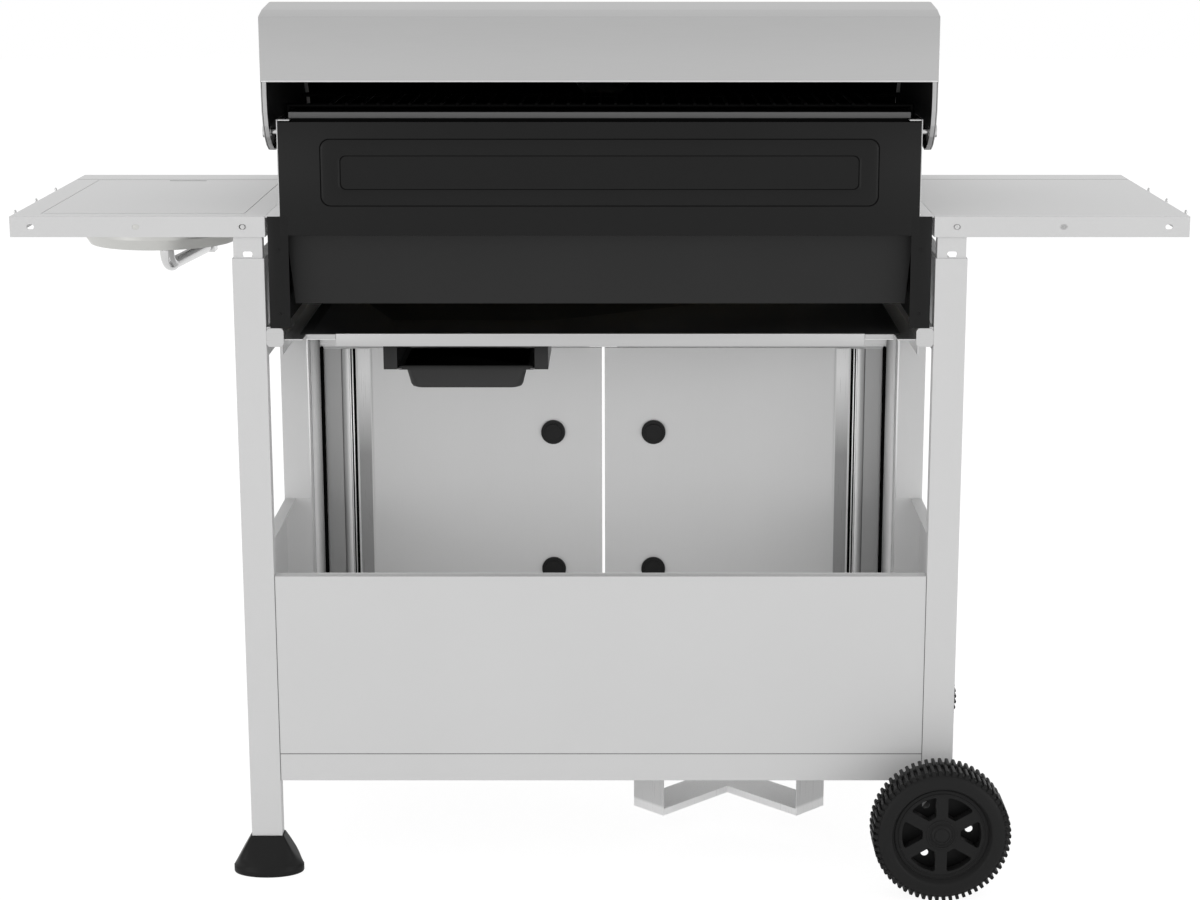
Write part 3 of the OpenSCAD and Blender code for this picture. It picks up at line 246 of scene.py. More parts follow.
def plated(name, colour, roughness):
    """Bright plating or bare drawn metal."""
    finish = Finish(name, colour, roughness, 1.0)
    clouds = finish.noise(40, 2)
    finish.surface("Base Color", finish.tint(clouds, 0.04))
    finish.sheen(clouds, 0.1)
    finish.relief(finish.noise(700, 1), 0.01, 0.3, 0.4)


def shade_lined(name, colour, web):
    """Brushed steel with painted shade: near-black, unmetallic faces where they stand at one distance from
    the middle plane, inside the grill.
    """
    finish = Finish(name, colour, 0.34)
    away = finish.axis("x") - web * MM
    inner = away.math("ABSOLUTE", away) < 0.4 * MM
    scratches = finish.scratches("y")
    finish.surface("Base Color", finish.blend(inner, finish.tint(scratches, 0.06), (0.008, 0.008, 0.008, 1)))
    finish.surface("Metallic", 0.9 - inner * 0.9)
    finish.surface("Roughness", scratches * 0.16 + (inner * 0.3 + 0.26))
    finish.relief(scratches, 0.01, 0.5)


def painted_gradient(name, colour, dark, axis, dark_at, light_at):
    """Steel with painted light and shade: its colour goes from a dark grey at one place to its lit colour at
    another along an axis.
    """
    finish = Finish(name, colour, 0.3, 0.3)
    share = finish.node("ShaderNodeMapRange", {"clamp": True}, {
        "Value": finish.axis(axis), "From Min": dark_at * MM, "From Max": light_at * MM})
    scratches = finish.scratches("z")
    finish.surface("Base Color", finish.blend(share, (dark, dark, dark, 1), finish.tint(scratches, 0.04)))
    finish.sheen(scratches, 0.16)
    finish.relief(scratches, 0.01, 0.5, 0)


def glass(name, colour):
    """Clear glass so thin that it hardly bends the light."""
    finish = Finish(name, colour, 0.03)
    finish.surface("Transmission Weight", 1.0)
    finish.surface("IOR", 1.05)


class Shape:
    """A mesh in the making. Its places are in millimetres, as in spot()."""

    def __init__(self):
        self.bm = bmesh.new()

    def new_since(self, old):
        return [vert for vert in self.bm.verts if vert not in old]

    def block(self, x, d, z, round_by, segments=2):
        """A box with round edges, from its ranges of X, depth and height."""
        size = Vector((x[1] - x[0], d[1] - d[0], z[1] - z[0])) * MM
        matrix = Matrix.Translation(spot(sum(x) / 2, sum(d) / 2, sum(z) / 2)) @ Matrix.Diagonal((*size, 1))
        verts = bmesh.ops.create_cube(self.bm, size=1, matrix=matrix)["verts"]
        self.bevel({edge for vert in verts for edge in vert.link_edges}, round_by, segments)

    def bevel(self, edges, width, segments):
        bmesh.ops.bevel(self.bm, geom=list(edges), offset=width * MM, segments=segments, profile=0.5,
                        affect="EDGES", material=-1, clamp_overlap=True)

    def rod(self, start, end, radius):
        first, last = spot(*start), spot(*end)
        turn = (last - first).to_track_quat("Z", "Y").to_matrix().to_4x4()
        bmesh.ops.create_cone(
            self.bm, cap_ends=True, segments=12, radius1=radius * MM, radius2=radius * MM,
            depth=(last - first).length, matrix=Matrix.Translation((first + last) / 2) @ turn)

    def lathe(self, profile, centre, toward, sides):
        """Spins an outline of radii and heights about a line from the centre."""
        old = set(self.bm.verts)
        verts = [self.bm.verts.new((radius * MM, 0, height * MM)) for radius, height in profile]
        edges = [self.bm.edges.new(pair) for pair in zip(verts, verts[1:])]
        bmesh.ops.spin(self.bm, geom=verts + edges, cent=(0, 0, 0), axis=(0, 0, 1), dvec=(0, 0, 0),
                       angle=tau, steps=sides, use_merge=True, use_duplicate=False)
        bmesh.ops.remove_doubles(self.bm, verts=self.new_since(old), dist=1e-6)
        fresh = self.new_since(old)
        bmesh.ops.recalc_face_normals(self.bm, faces=self.faces_of(fresh))
        bmesh.ops.transform(self.bm, matrix=facing(centre, toward), verts=fresh)

    @staticmethod
    def faces_of(verts):
        return list({face for vert in verts for face in vert.link_faces})

    def bar(self, path, radius, sides):
        """A round bar along a path, with flat ends."""
        points = [spot(*point) for point in path]
        rings = []
        for i, point in enumerate(points):
            along = points[min(i + 1, len(points) - 1)] - points[max(i - 1, 0)]
            matrix = Matrix.Translation(point) @ along.to_track_quat("Z", "X").to_matrix().to_4x4()
            made = bmesh.ops.create_circle(self.bm, segments=sides, radius=radius * MM, matrix=matrix)
            rings.append(list({edge for vert in made["verts"] for edge in vert.link_edges}))
        self.bridge(rings)

    def ring(self, points):
        """A closed ring of edges through places in millimetres."""
        verts = [self.bm.verts.new(spot(*point)) for point in points]
        return [self.bm.edges.new(pair) for pair in zip(verts, verts[1:] + verts[:1])]

    def bridge(self, rings, closed=False):
        """Joins rings of edges one to the next, and fills the first and last unless the row is closed."""
        old = set(self.bm.faces)
        for first, second in zip(rings, rings[1:] + rings[:1] if closed else rings[1:]):
            bmesh.ops.bridge_loops(self.bm, edges=first + second)
        for ring in () if closed else (rings[0], rings[-1]):
            bmesh.ops.contextual_create(self.bm, geom=ring)
        bmesh.ops.recalc_face_normals(self.bm, faces=[face for face in self.bm.faces if face not in old])

    def prism(self, outline, x):
        """A closed outline of depths and heights, pulled along X."""
        face = self.bm.faces.new([self.bm.verts.new(spot(x[0], d, z)) for d, z in outline])
        self.pull(face, (x[1] - x[0], 0, 0))

    def slab(self, outline, z):
        """A closed outline of X and depths, pulled upwards."""
        face = self.bm.faces.new([self.bm.verts.new(spot(x, d, z[0])) for x, d in outline])
        self.pull(face, (0, 0, z[1] - z[0]))

    def pull(self, face, by):
        made = bmesh.ops.extrude_face_region(self.bm, geom=[face], use_keep_orig=True)["geom"]
        verts = [item for item in made if isinstance(item, bmesh.types.BMVert)]
        bmesh.ops.translate(self.bm, vec=Vector(by) * MM, verts=verts)
        bmesh.ops.recalc_face_normals(self.bm, faces=list(self.bm.faces))

    def both_sides(self):
        """Adds the mirror image across the middle of the cart."""
        bmesh.ops.mirror(self.bm, geom=[*self.bm.verts, *self.bm.edges, *self.bm.faces],
                         matrix=Matrix.Identity(4), merge_dist=-1, axis="X")
        bmesh.ops.recalc_face_normals(self.bm, faces=list(self.bm.faces))

    def make(self, name, body, finish, replaces=(), sharp=35):
        """Turns the mesh into a piece that rides on a body."""
        mesh = bpy.data.meshes.new(name)
        self.bm.to_mesh(mesh)
        self.bm.free()
        for face in mesh.polygons:
            face.use_smooth = True
        mesh.set_sharp_from_angle(angle=radians(sharp))
        mesh.materials.append(finish_named(finish))
        piece = bpy.data.objects.new(name, mesh)
        bpy.context.scene.collection.objects.link(piece)
        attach(piece, body)
        SLOTS.get(finish, finish)
        if replaces:
            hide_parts(*replaces)


def arc(centre, radius, start, end, steps):
    """Points round a centre, from one angle in degrees to another."""
    turns = [radians(start + (end - start) * i / steps) for i in range(steps + 1)]
    return [(centre[0] + radius * cos(turn), centre[1] + radius * sin(turn)) for turn in turns]


def rounded(corners, radii, steps):
    """A closed outline with its corners cut to arcs. A corner with radius 0 stays as it is."""
    points = []
    for i, (corner, radius) in enumerate(zip(corners, radii)):
        if not radius:
            points.append(tuple(corner))
            continue
        here = Vector(corner)
        before = (Vector(corners[i - 1]) - here).normalized()
        after = (Vector(corners[(i + 1) % len(corners)]) - here).normalized()
        half = before.angle(after) / 2
        reach = radius / max(0.05, abs(sin(half) / cos(half)))
        middle = here + (before + after).normalized() * (radius / sin(half))
        start, end = here + before * reach, here + after * reach
        for k in range(steps + 1):
            spoke = (start - middle).lerp(end - middle, k / steps).normalized() * radius
            points.append(tuple(middle + spoke))
    return points


def box_outline(x, z, radius):
    """A rectangle with round corners, from its two ranges."""
    return rounded([(x[0], z[0]), (x[1], z[0]), (x[1], z[1]), (x[0], z[1])], [radius] * 4, 6)


# Each finish: its maker, its grey, full colour or colour property, and the maker's other values

FINISHES = {
    "sheet_steel": (enamel, "panels", 0.42, 0.4, 0.02),
    "leg_steel": (enamel, "panels", 0.42, 0.4, 0.02),
    "tray_enamel": (enamel, 0.036, 0.5, 0.15, 0.1),
    "black_enamel": (enamel, "black", 0.35, 0.16, 0.1),
    "tub_enamel": (enamel, 0.02, 0.35, 0.2, 0.1),
    "rail_enamel": (enamel, 0.004, 0.5, 0.02),
    # Painted light: the cup bracket is far lighter than the tray's enamel and stands in for light that the
    # tray keeps off it
    "bracket_enamel": (enamel, 0.2, 0.5, 0.15),
    # Painted highlight: the grey strip along the fold of the black rear rail
    "fold_grey": (enamel, 0.13, 0.4, 0.1),
    "seam_shadow": (enamel, 0.2, 0.7, 0.1),
    "hood_steel": (brushed, "hood", 0.34, "x"),
    "door_steel": (brushed, "hood", 0.36, "x"),
    "frame_steel": (brushed, 0.62, 0.3, "x"),
    "liner_steel": (brushed, 0.62, 0.45, "z", 0.25, 0.03),
    "lip_steel": (brushed, 0.55, 0.4, "x", 0.5),
    # Painted shade: the strips behind the doors are darker than the doors' own steel, for the dark reflection
    # in their polish
    "strip_steel": (brushed, 0.36, 0.4, "z", 0.5),
    # Painted shade: the inner faces of the hood's cheeks and of the firebox sides are near-black, for the
    # shade inside the grill
    "cheek_steel": (shade_lined, "hood", Box("hood_cheeks").x[1] - SHEET),
    "side_steel": (shade_lined, 0.62, Box("firebox_side_right").x[0] + 15),
    # Painted light and shade: the door rolls darken towards their outer edges as a painted reflection, the
    # jambs darken towards the door gaps, and the door flanges darken towards the bottom
    "roll_steel": (painted_gradient, 0.72, 0.18, "x", 378, 368),
    "jamb_steel": (painted_gradient, 1.0, 0.22, "x", 410, 419),
    "flange_steel": (painted_gradient, 0.72, 0.3, "z", 470, 590),
    # Painted light: the cradle's straps, low under the bottom shelf, are lighter than its upright parts and
    # stand in for light that the shelf keeps off them
    "cradle_steel": (painted_gradient, 1.0, 0.66, "z", 62, 58),
    "bright_wire": (plated, 0.68, 0.18),
    # Painted highlight: the hems are real folded edges, painted brighter than the sheet they are folded from
    "bright_hem": (plated, 0.78, 0.3),
    # Painted shade: the warming rack's plated wire is near-black, for the shade inside the hood
    "dark_wire": (plated, 0.01, 0.6),
    "aluminised": (plated, (0.62, 0.62, 0.6), 0.38),
    "valve_brass": (plated, (0.62, 0.48, 0.22), 0.3),
    "wheel_black": (moulded, "wheels", 0.4, 0.1),
    "foot_black": (moulded, 0.014, 0.4, 0.12),
    "knob_black": (moulded, 0.012, 0.32, 0.5, 0.01),
    # Painted shade: near-black strips and sheets in the door gaps, in the grooves behind the doors and inside
    # the hood, where there is only shade
    "groove_black": (moulded, 0.003, 0.8, 0.0),
    "dial_white": (moulded, 0.8, 0.4, 0.3, 0.005),
    "dial_glass": (glass, 1.0),
    "cast_black": (cast, 0.02),
}

# The record's slot of each finish that a piece wears and that has no slot of its own name
SLOTS = {
    "tray_enamel": "black_enamel", "fold_grey": "black_enamel", "rail_enamel": "black_enamel",
    "lip_steel": "frame_steel", "jamb_steel": "frame_steel", "bright_hem": "bright_wire",
    "strip_steel": "liner_steel", "roll_steel": "liner_steel", "flange_steel": "liner_steel",
    "dial_white": "dial_face", "dial_glass": "dial_face", "seam_shadow": "sheet_steel",
    "groove_black": "foot_black",
}

# The finish of each node's own solid, which stays hidden where a piece replaces the node
NODES_IN = {
    "leg_steel": "leg_rear_left leg_rear_right leg_front_left leg_front_right",
    "sheet_steel": "bottom_shelf rear_panel side_panels_lower side_panels_upper "
                   "shelf_left shelf_right burner_lid",
    "cradle_steel": "tank_cradle",
    "hood_steel": "hood_shell",
    "cheek_steel": "hood_cheeks",
    "frame_steel": "front_frame tray_runners",
    "side_steel": "firebox_side_left firebox_side_right",
    "door_steel": "control_panel door_left door_right",
    "liner_steel": "door_liner_left door_liner_right",
    "black_enamel": "back_plate",
    "tub_enamel": "firebox_tub",
    "rail_enamel": "rear_rail",
    "tray_enamel": "drip_tray grease_cup",
    "bracket_enamel": "cup_bracket",
    "cast_black": "grate_left grate_right pan_support",
    "dark_wire": "warming_rack",
    "bright_wire": "axle_rod knob_bezels tool_hooks side_burner fasteners hood_handle_bar thermometer",
    "aluminised": "burner_tubes heat_tents burner_bowl",
    "valve_brass": "manifold valve_stem_1 valve_stem_2 valve_stem_3 valve_stem_4 valve_stem_side",
    "wheel_black": "wheel_front wheel_rear",
    "foot_black": "feet door_handle_left door_handle_right",
    "knob_black": "knob_1 knob_2 knob_3 knob_4 knob_side hood_handle_posts",
}


def finish_named(name):
    """The material of that finish, made when it is first asked for."""
    if PREFIX + name not in bpy.data.materials:
        maker, colour, *values = FINISHES[name]
        if isinstance(colour, str):
            colour = getattr(bpy.context.scene.grill_colours, colour)
        elif isinstance(colour, float):
            colour = (colour,) * 3
        maker(name, colour, *values)
    return bpy.data.materials[PREFIX + name]


def grey(name, description, default):
    return FloatVectorProperty(name=name, description=description, subtype="COLOR", default=(default,) * 3)


def number(name, description, default, **kind):
    return FloatProperty(name=name, description=description, default=default, **kind)


class GrillColours(bpy.types.PropertyGroup):
    panels: grey("Panels", "Enamel of the legs, shelves and panels", 0.675)
    hood: grey("Hood", "Brushed steel of the hood and the doors", 0.52)
    black: grey("Black enamel", "Enamel of the back plate", 0.01)
    wheels: grey("Wheels", "Plastic of the wheels", 0.016)


class GrillStudio(bpy.types.PropertyGroup):
    eye_x: number("Eye X", "Sideways place of the camera", -0.033, unit="LENGTH")
    eye_back: number("Eye distance", "Camera's distance behind the legs", 3.134, unit="LENGTH")
    eye_z: number("Eye height", "Camera's height", 1.292, unit="LENGTH")
    pitch: number("Pitch", "How far the camera looks down", radians(12.849), subtype="ANGLE")
    lens: number("Lens", "Focal length in millimetres on a 36 mm sensor", 75.39)
    shift: number("Shift", "Sideways shift of the lens", -0.0217)
    sky: number("Sky", "Strength of the plain light from all round", 0.82)
    key: number("Key", "Power of each lamp over a rear corner", 75.0, unit="POWER")
    cabinet: number("Cabinet", "Power of the weak lamp inside the cabinet", 0.66, unit="POWER")
    fill: number("Fill", "Power of each lamp over the front", 12.0, unit="POWER")


class GRILL_OT_finishes(bpy.types.Operator):
    """Gives every solid of the frame its finish"""
    bl_idname = "grill.finishes"
    bl_label = "Finishes"

    def execute(self, context):
        for name, nodes in NODES_IN.items():
            for node in nodes.split():
                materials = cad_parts[node].data.materials
                materials.clear()
                materials.append(finish_named(name))
        return {"FINISHED"}


class GRILL_OT_stage(bpy.types.Operator):
    """Sets the floor, the plain light and the camera"""
    bl_idname = "grill.stage"
    bl_label = "Stage"

    def execute(self, context):
        studio = context.scene.grill_studio
        self.add_floor()
        self.add_sky(context.scene, studio.sky)
        for side in (-1, 1):
            self.add_lamp("key", (5.0 * side, 5.3, 0.55), (0, 0, 0.5), (3.0, 3.0), studio.key)
        inside = spot(0, 16, 370)
        self.add_lamp("cabinet", inside, inside - Vector((0, 1, 0)), (0.74, 0.36), studio.cabinet)
        for name, side in (("fill_left", -1), ("fill_right", 1)):
            self.add_lamp(name, (3.0 * side, -2.5, 2.6), (0, 0, 0.6), (2.5, 2.5), studio.fill)
        self.add_camera(context.scene, studio)
        context.scene.view_settings.view_transform = "Standard"
        return {"FINISHED"}

    @staticmethod
    def add_floor():
        bm = bmesh.new()
        bmesh.ops.create_grid(bm, x_segments=1, y_segments=1, size=15)
        mesh = bpy.data.meshes.new("floor")
        bm.to_mesh(mesh)
        bm.free()
        floor = bpy.data.objects.new("floor", mesh)
        bpy.context.scene.collection.objects.link(floor)
        finish = Finish("floor_paper", (0.86, 0.86, 0.86), 0.9, gloss=0.0)
        rays = finish.tree.nodes.new("ShaderNodeLightPath")
        camera, glossy, passed = (Wire(finish, rays.outputs[f"Is {kind} Ray"])
                                  for kind in ("Camera", "Glossy", "Transmission"))
        mirrored = glossy.math("MAXIMUM", glossy, passed)
        glow = finish.node("ShaderNodeEmission", None, {"Color": (1, 1, 1, 1), "Strength": 1.15})
        paper = Wire(finish, finish.shader.outputs[0])
        mixed = finish.node("ShaderNodeMixShader", None,
                            {0: glossy.math("MAXIMUM", camera * 0.8, mirrored * 0.5), 1: paper, 2: glow})
        finish.feed(finish.tree.nodes["Material Output"].inputs["Surface"], mixed)
        mesh.materials.append(finish.material)

    @staticmethod
    def add_sky(scene, strength):
        world = bpy.data.worlds.new("studio_sky")
        scene.world = world
        world.use_nodes = True
        tree = world.node_tree
        rays = tree.nodes.new("ShaderNodeLightPath")
        seen = tree.nodes.new("ShaderNodeMath")
        seen.operation = "MAXIMUM"
        tree.links.new(rays.outputs["Is Camera Ray"], seen.inputs[0])
        tree.links.new(rays.outputs["Is Transmission Ray"], seen.inputs[1])
        level = tree.nodes.new("ShaderNodeMix")
        level.inputs["A"].default_value = strength
        level.inputs["B"].default_value = 1.0
        tree.links.new(seen.outputs[0], level.inputs["Factor"])
        tree.nodes["Background"].inputs["Color"].default_value = (1, 1, 1, 1)
        tree.links.new(level.outputs["Result"], tree.nodes["Background"].inputs["Strength"])

    @staticmethod
    def add_lamp(name, place, target, size, power):
        data = bpy.data.lights.new(name, "AREA")
        data.shape = "RECTANGLE"
        data.size, data.size_y = size
        data.energy = power
        lamp = bpy.data.objects.new(name, data)
        lamp.visible_camera = False
        lamp.location = place
        lamp.rotation_euler = (Vector(target) - Vector(place)).to_track_quat("-Z", "Y").to_euler()
        bpy.context.scene.collection.objects.link(lamp)

    @staticmethod
    def add_camera(scene, studio):
        data = bpy.data.cameras.new("view")
        data.sensor_width = 36
        data.lens = studio.lens
        data.shift_x = studio.shift
        eye = bpy.data.objects.new("view", data)
        eye.location = (studio.eye_x, Box.rear * MM + studio.eye_back, studio.eye_z)
        eye.rotation_euler = Euler((pi / 2 - studio.pitch, 0, pi))
        scene.collection.objects.link(eye)
        scene.camera = eye


class HoodForm:
    """The hood's outline: an upright rear, two shallow folds, then a quarter ellipse to the front edge."""
    base = SHELF.z[1]
    top = HOOD.z[1]
    reach = HOOD.d[1]
    edge = HOOD.z[0]
    slot = base + 167
    fold = 13
    bevel = (33, 6)
    crown = 100

    @classmethod
    def line(cls, inset):
        """The outline from the slot at the rear over the crown to the front edge, drawn in by an inset."""
        steps = 48
        rise = cls.top - cls.base - inset
        span = cls.reach - cls.crown - inset
        last = acos((cls.edge - cls.base) / rise)
        curve = [(cls.crown + span * sin(last * i / steps), cls.base + rise * cos(last * i / steps))
                 for i in range(steps + 1)]
        return [(inset, cls.slot), (inset, cls.top - cls.fold - inset),
                (cls.bevel[0], cls.top - cls.bevel[1] - inset), *curve]

    @classmethod
    def depth_at(cls, z):
        return cls.crown + (cls.reach - cls.crown) * sin(acos((z - cls.base) / (cls.top - cls.base)))

    @classmethod
    def slope_at(cls, z):
        """The outward direction of the skin at a height, as depth and rise."""
        along = (cls.depth_at(z) - cls.crown) / (cls.reach - cls.crown) ** 2
        rise = (z - cls.base) / (cls.top - cls.base) ** 2
        return Vector((along, rise)).normalized()


class GRILL_OT_hood_skin(bpy.types.Operator):
    """Folds the hood's skin, with hems along its rear and front edges, and a near-black sheet of painted
    shade inside it
    """
    bl_idname = "grill.hood_skin"
    bl_label = "Hood skin"

    def execute(self, context):
        shape = Shape()
        shape.prism(HoodForm.line(0) + HoodForm.line(SHEET)[::-1], HOOD.x)
        folds = [edge for edge in shape.bm.edges if edge.calc_face_angle(0) > radians(5)
                 and abs(edge.verts[0].co.x - edge.verts[1].co.x) > 0.1]
        shape.bevel(folds, 0.9, 3)
        shape.make("hood_skin", "hood", "hood_steel", ["hood_shell"])
        # The hems are real folds with a painted highlight, brighter than the hood's steel
        hems = Shape()
        x = (HOOD.x[0] + 0.8, HOOD.x[1] - 0.8)
        reach, edge = HoodForm.reach, HoodForm.edge
        hems.block(x, (-0.4, 3.2), (HoodForm.slot, HoodForm.slot + 2.4), 1.1, 3)
        hems.block(x, (reach - 3.4, reach + 0.2), (edge - 0.2, edge + 4), 1.1, 3)
        hems.make("hood_hems", "hood", "bright_hem")
        # Painted shade: a near-black sheet just inside the skin stands for the shade inside the hood
        inside_shade = Shape()
        inside_shade.prism(HoodForm.line(SHEET)[1:-2] + HoodForm.line(SHEET + 0.4)[1:-2][::-1],
                     (HOOD.x[0] + 2, HOOD.x[1] - 2))
        inside_shade.make("hood_lining", "hood", "groove_black")
        return {"FINISHED"}


class GRILL_OT_hood_handle(bpy.types.Operator):
    """Makes the hood's handle: a bar with domed ends on two flared stand-offs"""
    bl_idname = "grill.hood_handle"
    bl_label = "Hood handle"

    def execute(self, context):
        bar = Box("hood_handle_bar")
        radius = bar.size("z") / 2
        d, z = bar.mid("d"), bar.mid("z")
        tube = Shape()
        dome = [(radius * sin(t * pi / 16), radius * 0.5 * (1 - cos(t * pi / 16))) for t in range(9)]
        length = bar.size("x")
        tube.lathe(dome + [(r, length - h) for r, h in reversed(dome)], (bar.x[0], d, z), (1, 0, 0), 48)
        tube.make("handle_bar", "hood", "bright_wire", ["hood_handle_bar"])
        stands = Shape()
        post_x = Box("hood_handle_posts").x[1] - 16
        skin = HoodForm.depth_at(z)
        neck, flare = 8.5, 15.5
        reach = d - skin
        stands.lathe([(0, -6), (flare, -6), (flare, 2.5), (flare - 1.5, 4), (neck + 2, 6), (neck, 12),
                      (neck, reach - radius - 6), (neck + 3, reach - radius + 2), (neck + 3, reach),
                      (0, reach)], (post_x, skin, z), (0, -1, 0), 40)
        stands.both_sides()
        stands.make("handle_stands", "hood", "knob_black", ["hood_handle_posts"])
        collars = Shape()
        collars.lathe([(radius - 1, -9), (radius - 0.4, -9.6), (radius + 0.5, -9), (radius + 0.5, 9),
                       (radius - 0.4, 9.6), (radius - 1, 9), (radius - 1, -9)], (post_x, d, z), (1, 0, 0), 48)
        collars.both_sides()
        collars.make("handle_collars", "hood", "knob_black")
        return {"FINISHED"}


class GRILL_OT_thermometer(bpy.types.Operator):
    """Makes the thermometer: bezel, white dial with marks, needle and glass"""
    bl_idname = "grill.thermometer"
    bl_label = "Thermometer"

    def execute(self, context):
        rise, radius, height = 143, 38, 12
        z = HoodForm.base + rise
        slope = HoodForm.slope_at(z)
        self.centre = (0, HoodForm.depth_at(z), z)
        self.toward = Vector((0, -slope.x, slope.y))
        self.spun("gauge_bezel", "bright_wire", ["thermometer"], [
            (0, -4), (radius, -4), (radius, height - 3), (radius - 1, height - 0.8), (radius - 3, height),
            (radius - 4.5, height - 0.5), (radius - 5, height - 3), (0, height - 3)])
        self.spun("gauge_face", "dial_white", [], [
            (0, height - 2.9), (radius - 5.2, height - 2.9), (radius - 5.2, height - 2.5), (0, height - 2.5)])
        marks = Shape()
        last, step = 12, radians(11)
        for i in range(-last, last + 1):
            width, length = (0.9, 5) if i % 3 == 0 else (0.5, 2.6)
            self.stroke(marks, i * step, (width, length, 0.3), radius - 8 - length / 2, height - 2.4)
        needle = (1.4, 24, 0.4)
        self.stroke(marks, last * step, needle, 8, height - 1.8)
        marks.lathe([(0, height - 2.5), (3, height - 2.5), (3, height - 1.2), (0, height - 1)],
                    self.centre, self.toward, 24)
        marks.make("gauge_marks", "hood", "knob_black")
        self.spun("gauge_glass", "dial_glass", [], [
            (0, height - 0.9), (radius - 4.8, height - 1.1), (radius - 4.8, height - 0.7), (0, height - 0.4)])
        return {"FINISHED"}

    def spun(self, name, finish, replaces, profile):
        """A piece turned about the thermometer's own axis."""
        shape = Shape()
        shape.lathe(profile, self.centre, self.toward, 72)
        shape.make(name, "hood", finish, replaces)

    def stroke(self, marks, turn, size, reach, height):
        """A straight mark of a size in millimetres, turned about the dial's centre."""
        place = Matrix.Translation((0, reach * MM, height * MM))
        matrix = facing(self.centre, self.toward) @ Matrix.Rotation(turn, 4, "Z") @ place
        stretch = Matrix.Diagonal((*(Vector(size) * MM), 1))
        bmesh.ops.create_cube(marks.bm, size=1, matrix=matrix @ stretch)


class BackForm:
    """Places and sizes on the back plate, in millimetres."""
    half = Box("firebox_tub").x[1]
    low = SHELF.z[1] - 24
    post = PLATE.x[1] - 26
    field = half - 51.5
    field_z = (low + 37, low + 121)
    border = 25
    squeeze = 0.84
    rail_half = 388

    @classmethod
    def outline(cls, inset, line=0.0):
        """The raised border's outline, drawn in by an inset and by the width of a line."""
        drawn = inset + line
        rise = drawn * cls.squeeze
        corner = max(7, 12 - inset * 0.3)
        return box_outline((-cls.field + drawn, cls.field - drawn),
                           (cls.field_z[0] + rise, cls.field_z[1] - rise), corner)


class GRILL_OT_back(bpy.types.Operator):
    """Presses the black back plate with its raised frame, and fits its screws"""
    bl_idname = "grill.back"
    bl_label = "Back plate"

    def execute(self, context):
        form = BackForm
        shape = Shape()
        shape.block((-form.half, form.half), (0, SHEET), (form.low, PLATE.z[1]), 0.5)
        for side in (-1, 1):
            shape.block(beside(side, form.post, PLATE.x[1]), (-0.05, SHEET - 0.05),
                        (PLATE.z[0], SHELF.z[1]), 0.5)
        self.press(shape)
        shape.make("back_pressing", "cart", "black_enamel", ["back_plate"])
        self.press_lines()
        screws = Shape()
        for side in (-1, 1):
            for z in (SHELF.z[1] - 42, PLATE.z[0] + 18):
                screws.lathe([(0, 1.4), (1.2, 1.4), (1.3, 0.4), (2.6, 0.4), (2.8, -1), (0, -1)],
                             (side * (PLATE.x[1] + form.post) / 2, 0, z), (0, 1, 0), 20)
        screws.make("back_screws", "cart", "black_enamel")
        rail = Box("rear_rail")
        # Painted highlight: a grey strip along the top of the black rail's front face, where its fold catches
        # the light
        fold = Shape()
        fold.block((-form.rail_half, form.rail_half), (rail.d[0] - 0.5, rail.d[0] + 1),
                   (rail.z[1] - 7.4, rail.z[1] + 0.1), 0.5)
        fold.make("rail_fold", "cart", "fold_grey")
        return {"FINISHED"}

    @staticmethod
    def press(shape):
        """A raised border with softly sloping sides, and the flat field it encloses."""
        border = BackForm.border
        steps = ((0, -0.5), (0.1, 0.0), (0.9, 0.1), (2.4, 1.3), (3.4, 1.55), (border - 3.4, 1.55),
                 (border - 2.4, 1.3), (border - 0.9, 0.3), (border, 0.2))
        shape.bridge([shape.ring([(x, -rise, z) for x, z in BackForm.outline(inset)])
                      for inset, rise in steps])

    @staticmethod
    def press_lines():
        """Painted shade: dark lines round the outer and the inner foot of the raised border, where its
        creases lie in shade.
        """
        lines = Shape()
        front, back = 0.3, -0.25
        for inset in (-0.4, 24.2):
            outer, inner = BackForm.outline(inset), BackForm.outline(inset, 1.5)
            section = ((outer, front), (outer, back), (inner, back), (inner, front))
            lines.bridge([lines.ring([(x, d, z) for x, z in outline]) for outline, d in section], closed=True)
        lines.make("press_lines", "cart", "rail_enamel")


